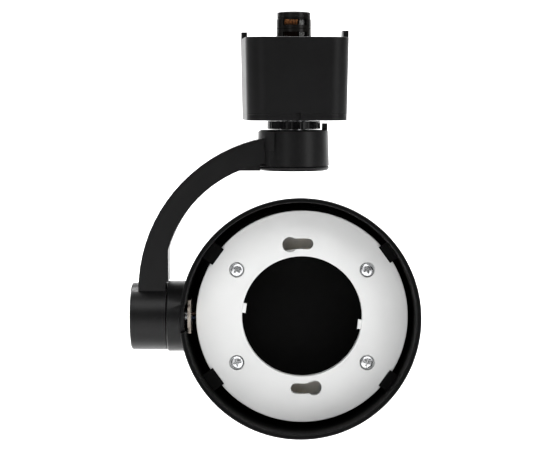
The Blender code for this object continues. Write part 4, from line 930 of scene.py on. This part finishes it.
def make_plug_cap(adapter):
    """The rounded cap on top of the plug."""
    edge = (CAP_RADIUS - CAP_EDGE, CAP_TOP - 2 * CAP_EDGE)
    profile = [
        (0.0, CAP_TOP),
        (CAP_FLAT, CAP_TOP),
        *arc(edge, CAP_EDGE, CAP_EDGE_START, 0, EDGE_STEPS),
        (CAP_RADIUS, CAP_LOW),
        (0.0, CAP_LOW),
    ]
    cap = turned("fine_plug_cap", profile, ROUND_STEPS, adapter)
    stand_in(cap, "adapter", "plug_black", ["plug_cap"])


def make_collar():
    """The glossy collar under the box, finely ribbed."""
    outer = COLLAR_RADIUS - SMOOTH_STEP
    top = COLLAR_TOP - SMOOTH_STEP
    low = COLLAR_LOW + SMOOTH_STEP
    profile = [
        (COLLAR_BORE, top),
        *arc((outer - COLLAR_EDGE, top - COLLAR_EDGE), COLLAR_EDGE, 90, 0, COLLAR_EDGE_STEPS),
        *arc((outer - COLLAR_EDGE, low + COLLAR_EDGE), COLLAR_EDGE, 0, -90, COLLAR_EDGE_STEPS),
        (COLLAR_BORE, low),
    ]
    shape = turn_profile(profile, FINE_STEPS, closed=True)
    for vertex in shape.verts:
        radius = vertex.co.xy.length
        step = round(math.atan2(vertex.co.y, vertex.co.x) / (2 * math.pi) * FINE_STEPS)
        if radius > outer - MERGE and step % RIB_PITCH < RIB_GROOVE:
            vertex.co.xy *= (radius - COLLAR_RIB) / radius
    collar = finish_shape("fine_neck_collar", shape, Matrix.Identity(4))
    stand_in(collar, "adapter", "gloss_black", ["neck_collar"])


def make_fine_pieces():
    head = head_frame()
    holder = head @ Matrix.Translation((HOLDER_SHIFT, 0.0, 0.0))
    make_housing(head)
    make_face(holder)
    for number, ((x, y), turn) in enumerate(zip(screw_places(), SCREW_TURNS), start=1):
        make_screw(number, x, y, turn, holder)
    adapter = Matrix.Rotation(ADAPTER_TURN, 4, "Z")
    make_box(adapter)
    make_cover(adapter)
    make_plug(adapter)
    make_plug_cap(adapter)
    make_collar()


make_fine_pieces()


# The studio


def sweep_line():
    """Floor and backdrop from the side, as (y, z) points from front to back and up."""
    level = CAD_BOX[0].z - FLOOR_DROP
    line = [(FLOOR_FRONT, level)]
    for step in range(SWEEP_STEPS + 1):
        angle = math.pi / 2 * step / SWEEP_STEPS
        rise = SWEEP_RADIUS * (1 - math.cos(angle))
        line.append((SWEEP_START + SWEEP_RADIUS * math.sin(angle), level + rise))
    line.append((SWEEP_START + SWEEP_RADIUS, level + BACKDROP_HEIGHT))
    return line


def make_floor():
    """A pale floor that sweeps up into a backdrop far behind the light."""
    line = sweep_line()
    shape = bmesh.new()
    left, right = (
        [shape.verts.new((x, y, z)) for y, z in line]
        for x in (-FLOOR_HALF_WIDTH, FLOOR_HALF_WIDTH)
    )
    for i in range(len(line) - 1):
        shape.faces.new((left[i], right[i], right[i + 1], left[i + 1])).smooth = True
    mesh = bpy.data.meshes.new("floor")
    shape.to_mesh(mesh)
    shape.free()
    material, tree, shader = node_material("studio_paper")
    tone = spread(tree, noise(tree, PAPER_CLOUDS, 4.0), 0.0, 1.0)
    colour = blend_colours(tree, tone, PAPER_DARK, PAPER_LIGHT)
    tree.links.new(colour, shader.inputs["Base Color"])
    shader.inputs["Roughness"].default_value = 0.9
    shader.inputs["Specular IOR Level"].default_value = 0.1
    mesh.materials.append(material)
    return add_object("floor", mesh)


def add_light(name, azimuth, height, distance, size, power, aim):
    """A soft box; its values are in the order of LIGHTS."""
    middle = (CAD_BOX[0] + CAD_BOX[1]) / 2
    turn = math.radians(azimuth)
    place = middle + Vector((distance * math.sin(turn), -distance * math.cos(turn), height))
    target = middle + Vector(aim)
    light = bpy.data.lights.new(name, "AREA")
    light.shape = "RECTANGLE"
    light.size, light.size_y = size
    light.energy = power
    obj = add_object(name, light)
    obj.location = place
    obj.rotation_euler = (target - place).to_track_quat("-Z", "Y").to_euler()


def make_studio():
    make_floor()
    for name, values in LIGHTS.items():
        add_light(name, *values)
    world = bpy.data.worlds.new("studio")
    world.use_nodes = True
    background = world.node_tree.nodes["Background"]
    background.inputs["Color"].default_value = (1.0, 1.0, 1.0, 1.0)
    background.inputs["Strength"].default_value = WORLD_LIGHT
    bpy.context.scene.world = world
    bpy.context.scene.view_settings.view_transform = "Standard"


def make_camera():
    data = bpy.data.cameras.new("camera")
    data.lens = CAMERA_LENS
    data.sensor_width = SENSOR_WIDTH
    data.clip_start = CAMERA_NEAR
    data.clip_end = CAMERA_FAR
    camera = add_object("camera", data)
    camera.location = CAMERA_PLACE
    camera.rotation_euler = (CAMERA_AIM - CAMERA_PLACE).to_track_quat("-Z", "Y").to_euler()
    bpy.context.scene.camera = camera


make_studio()
make_camera()
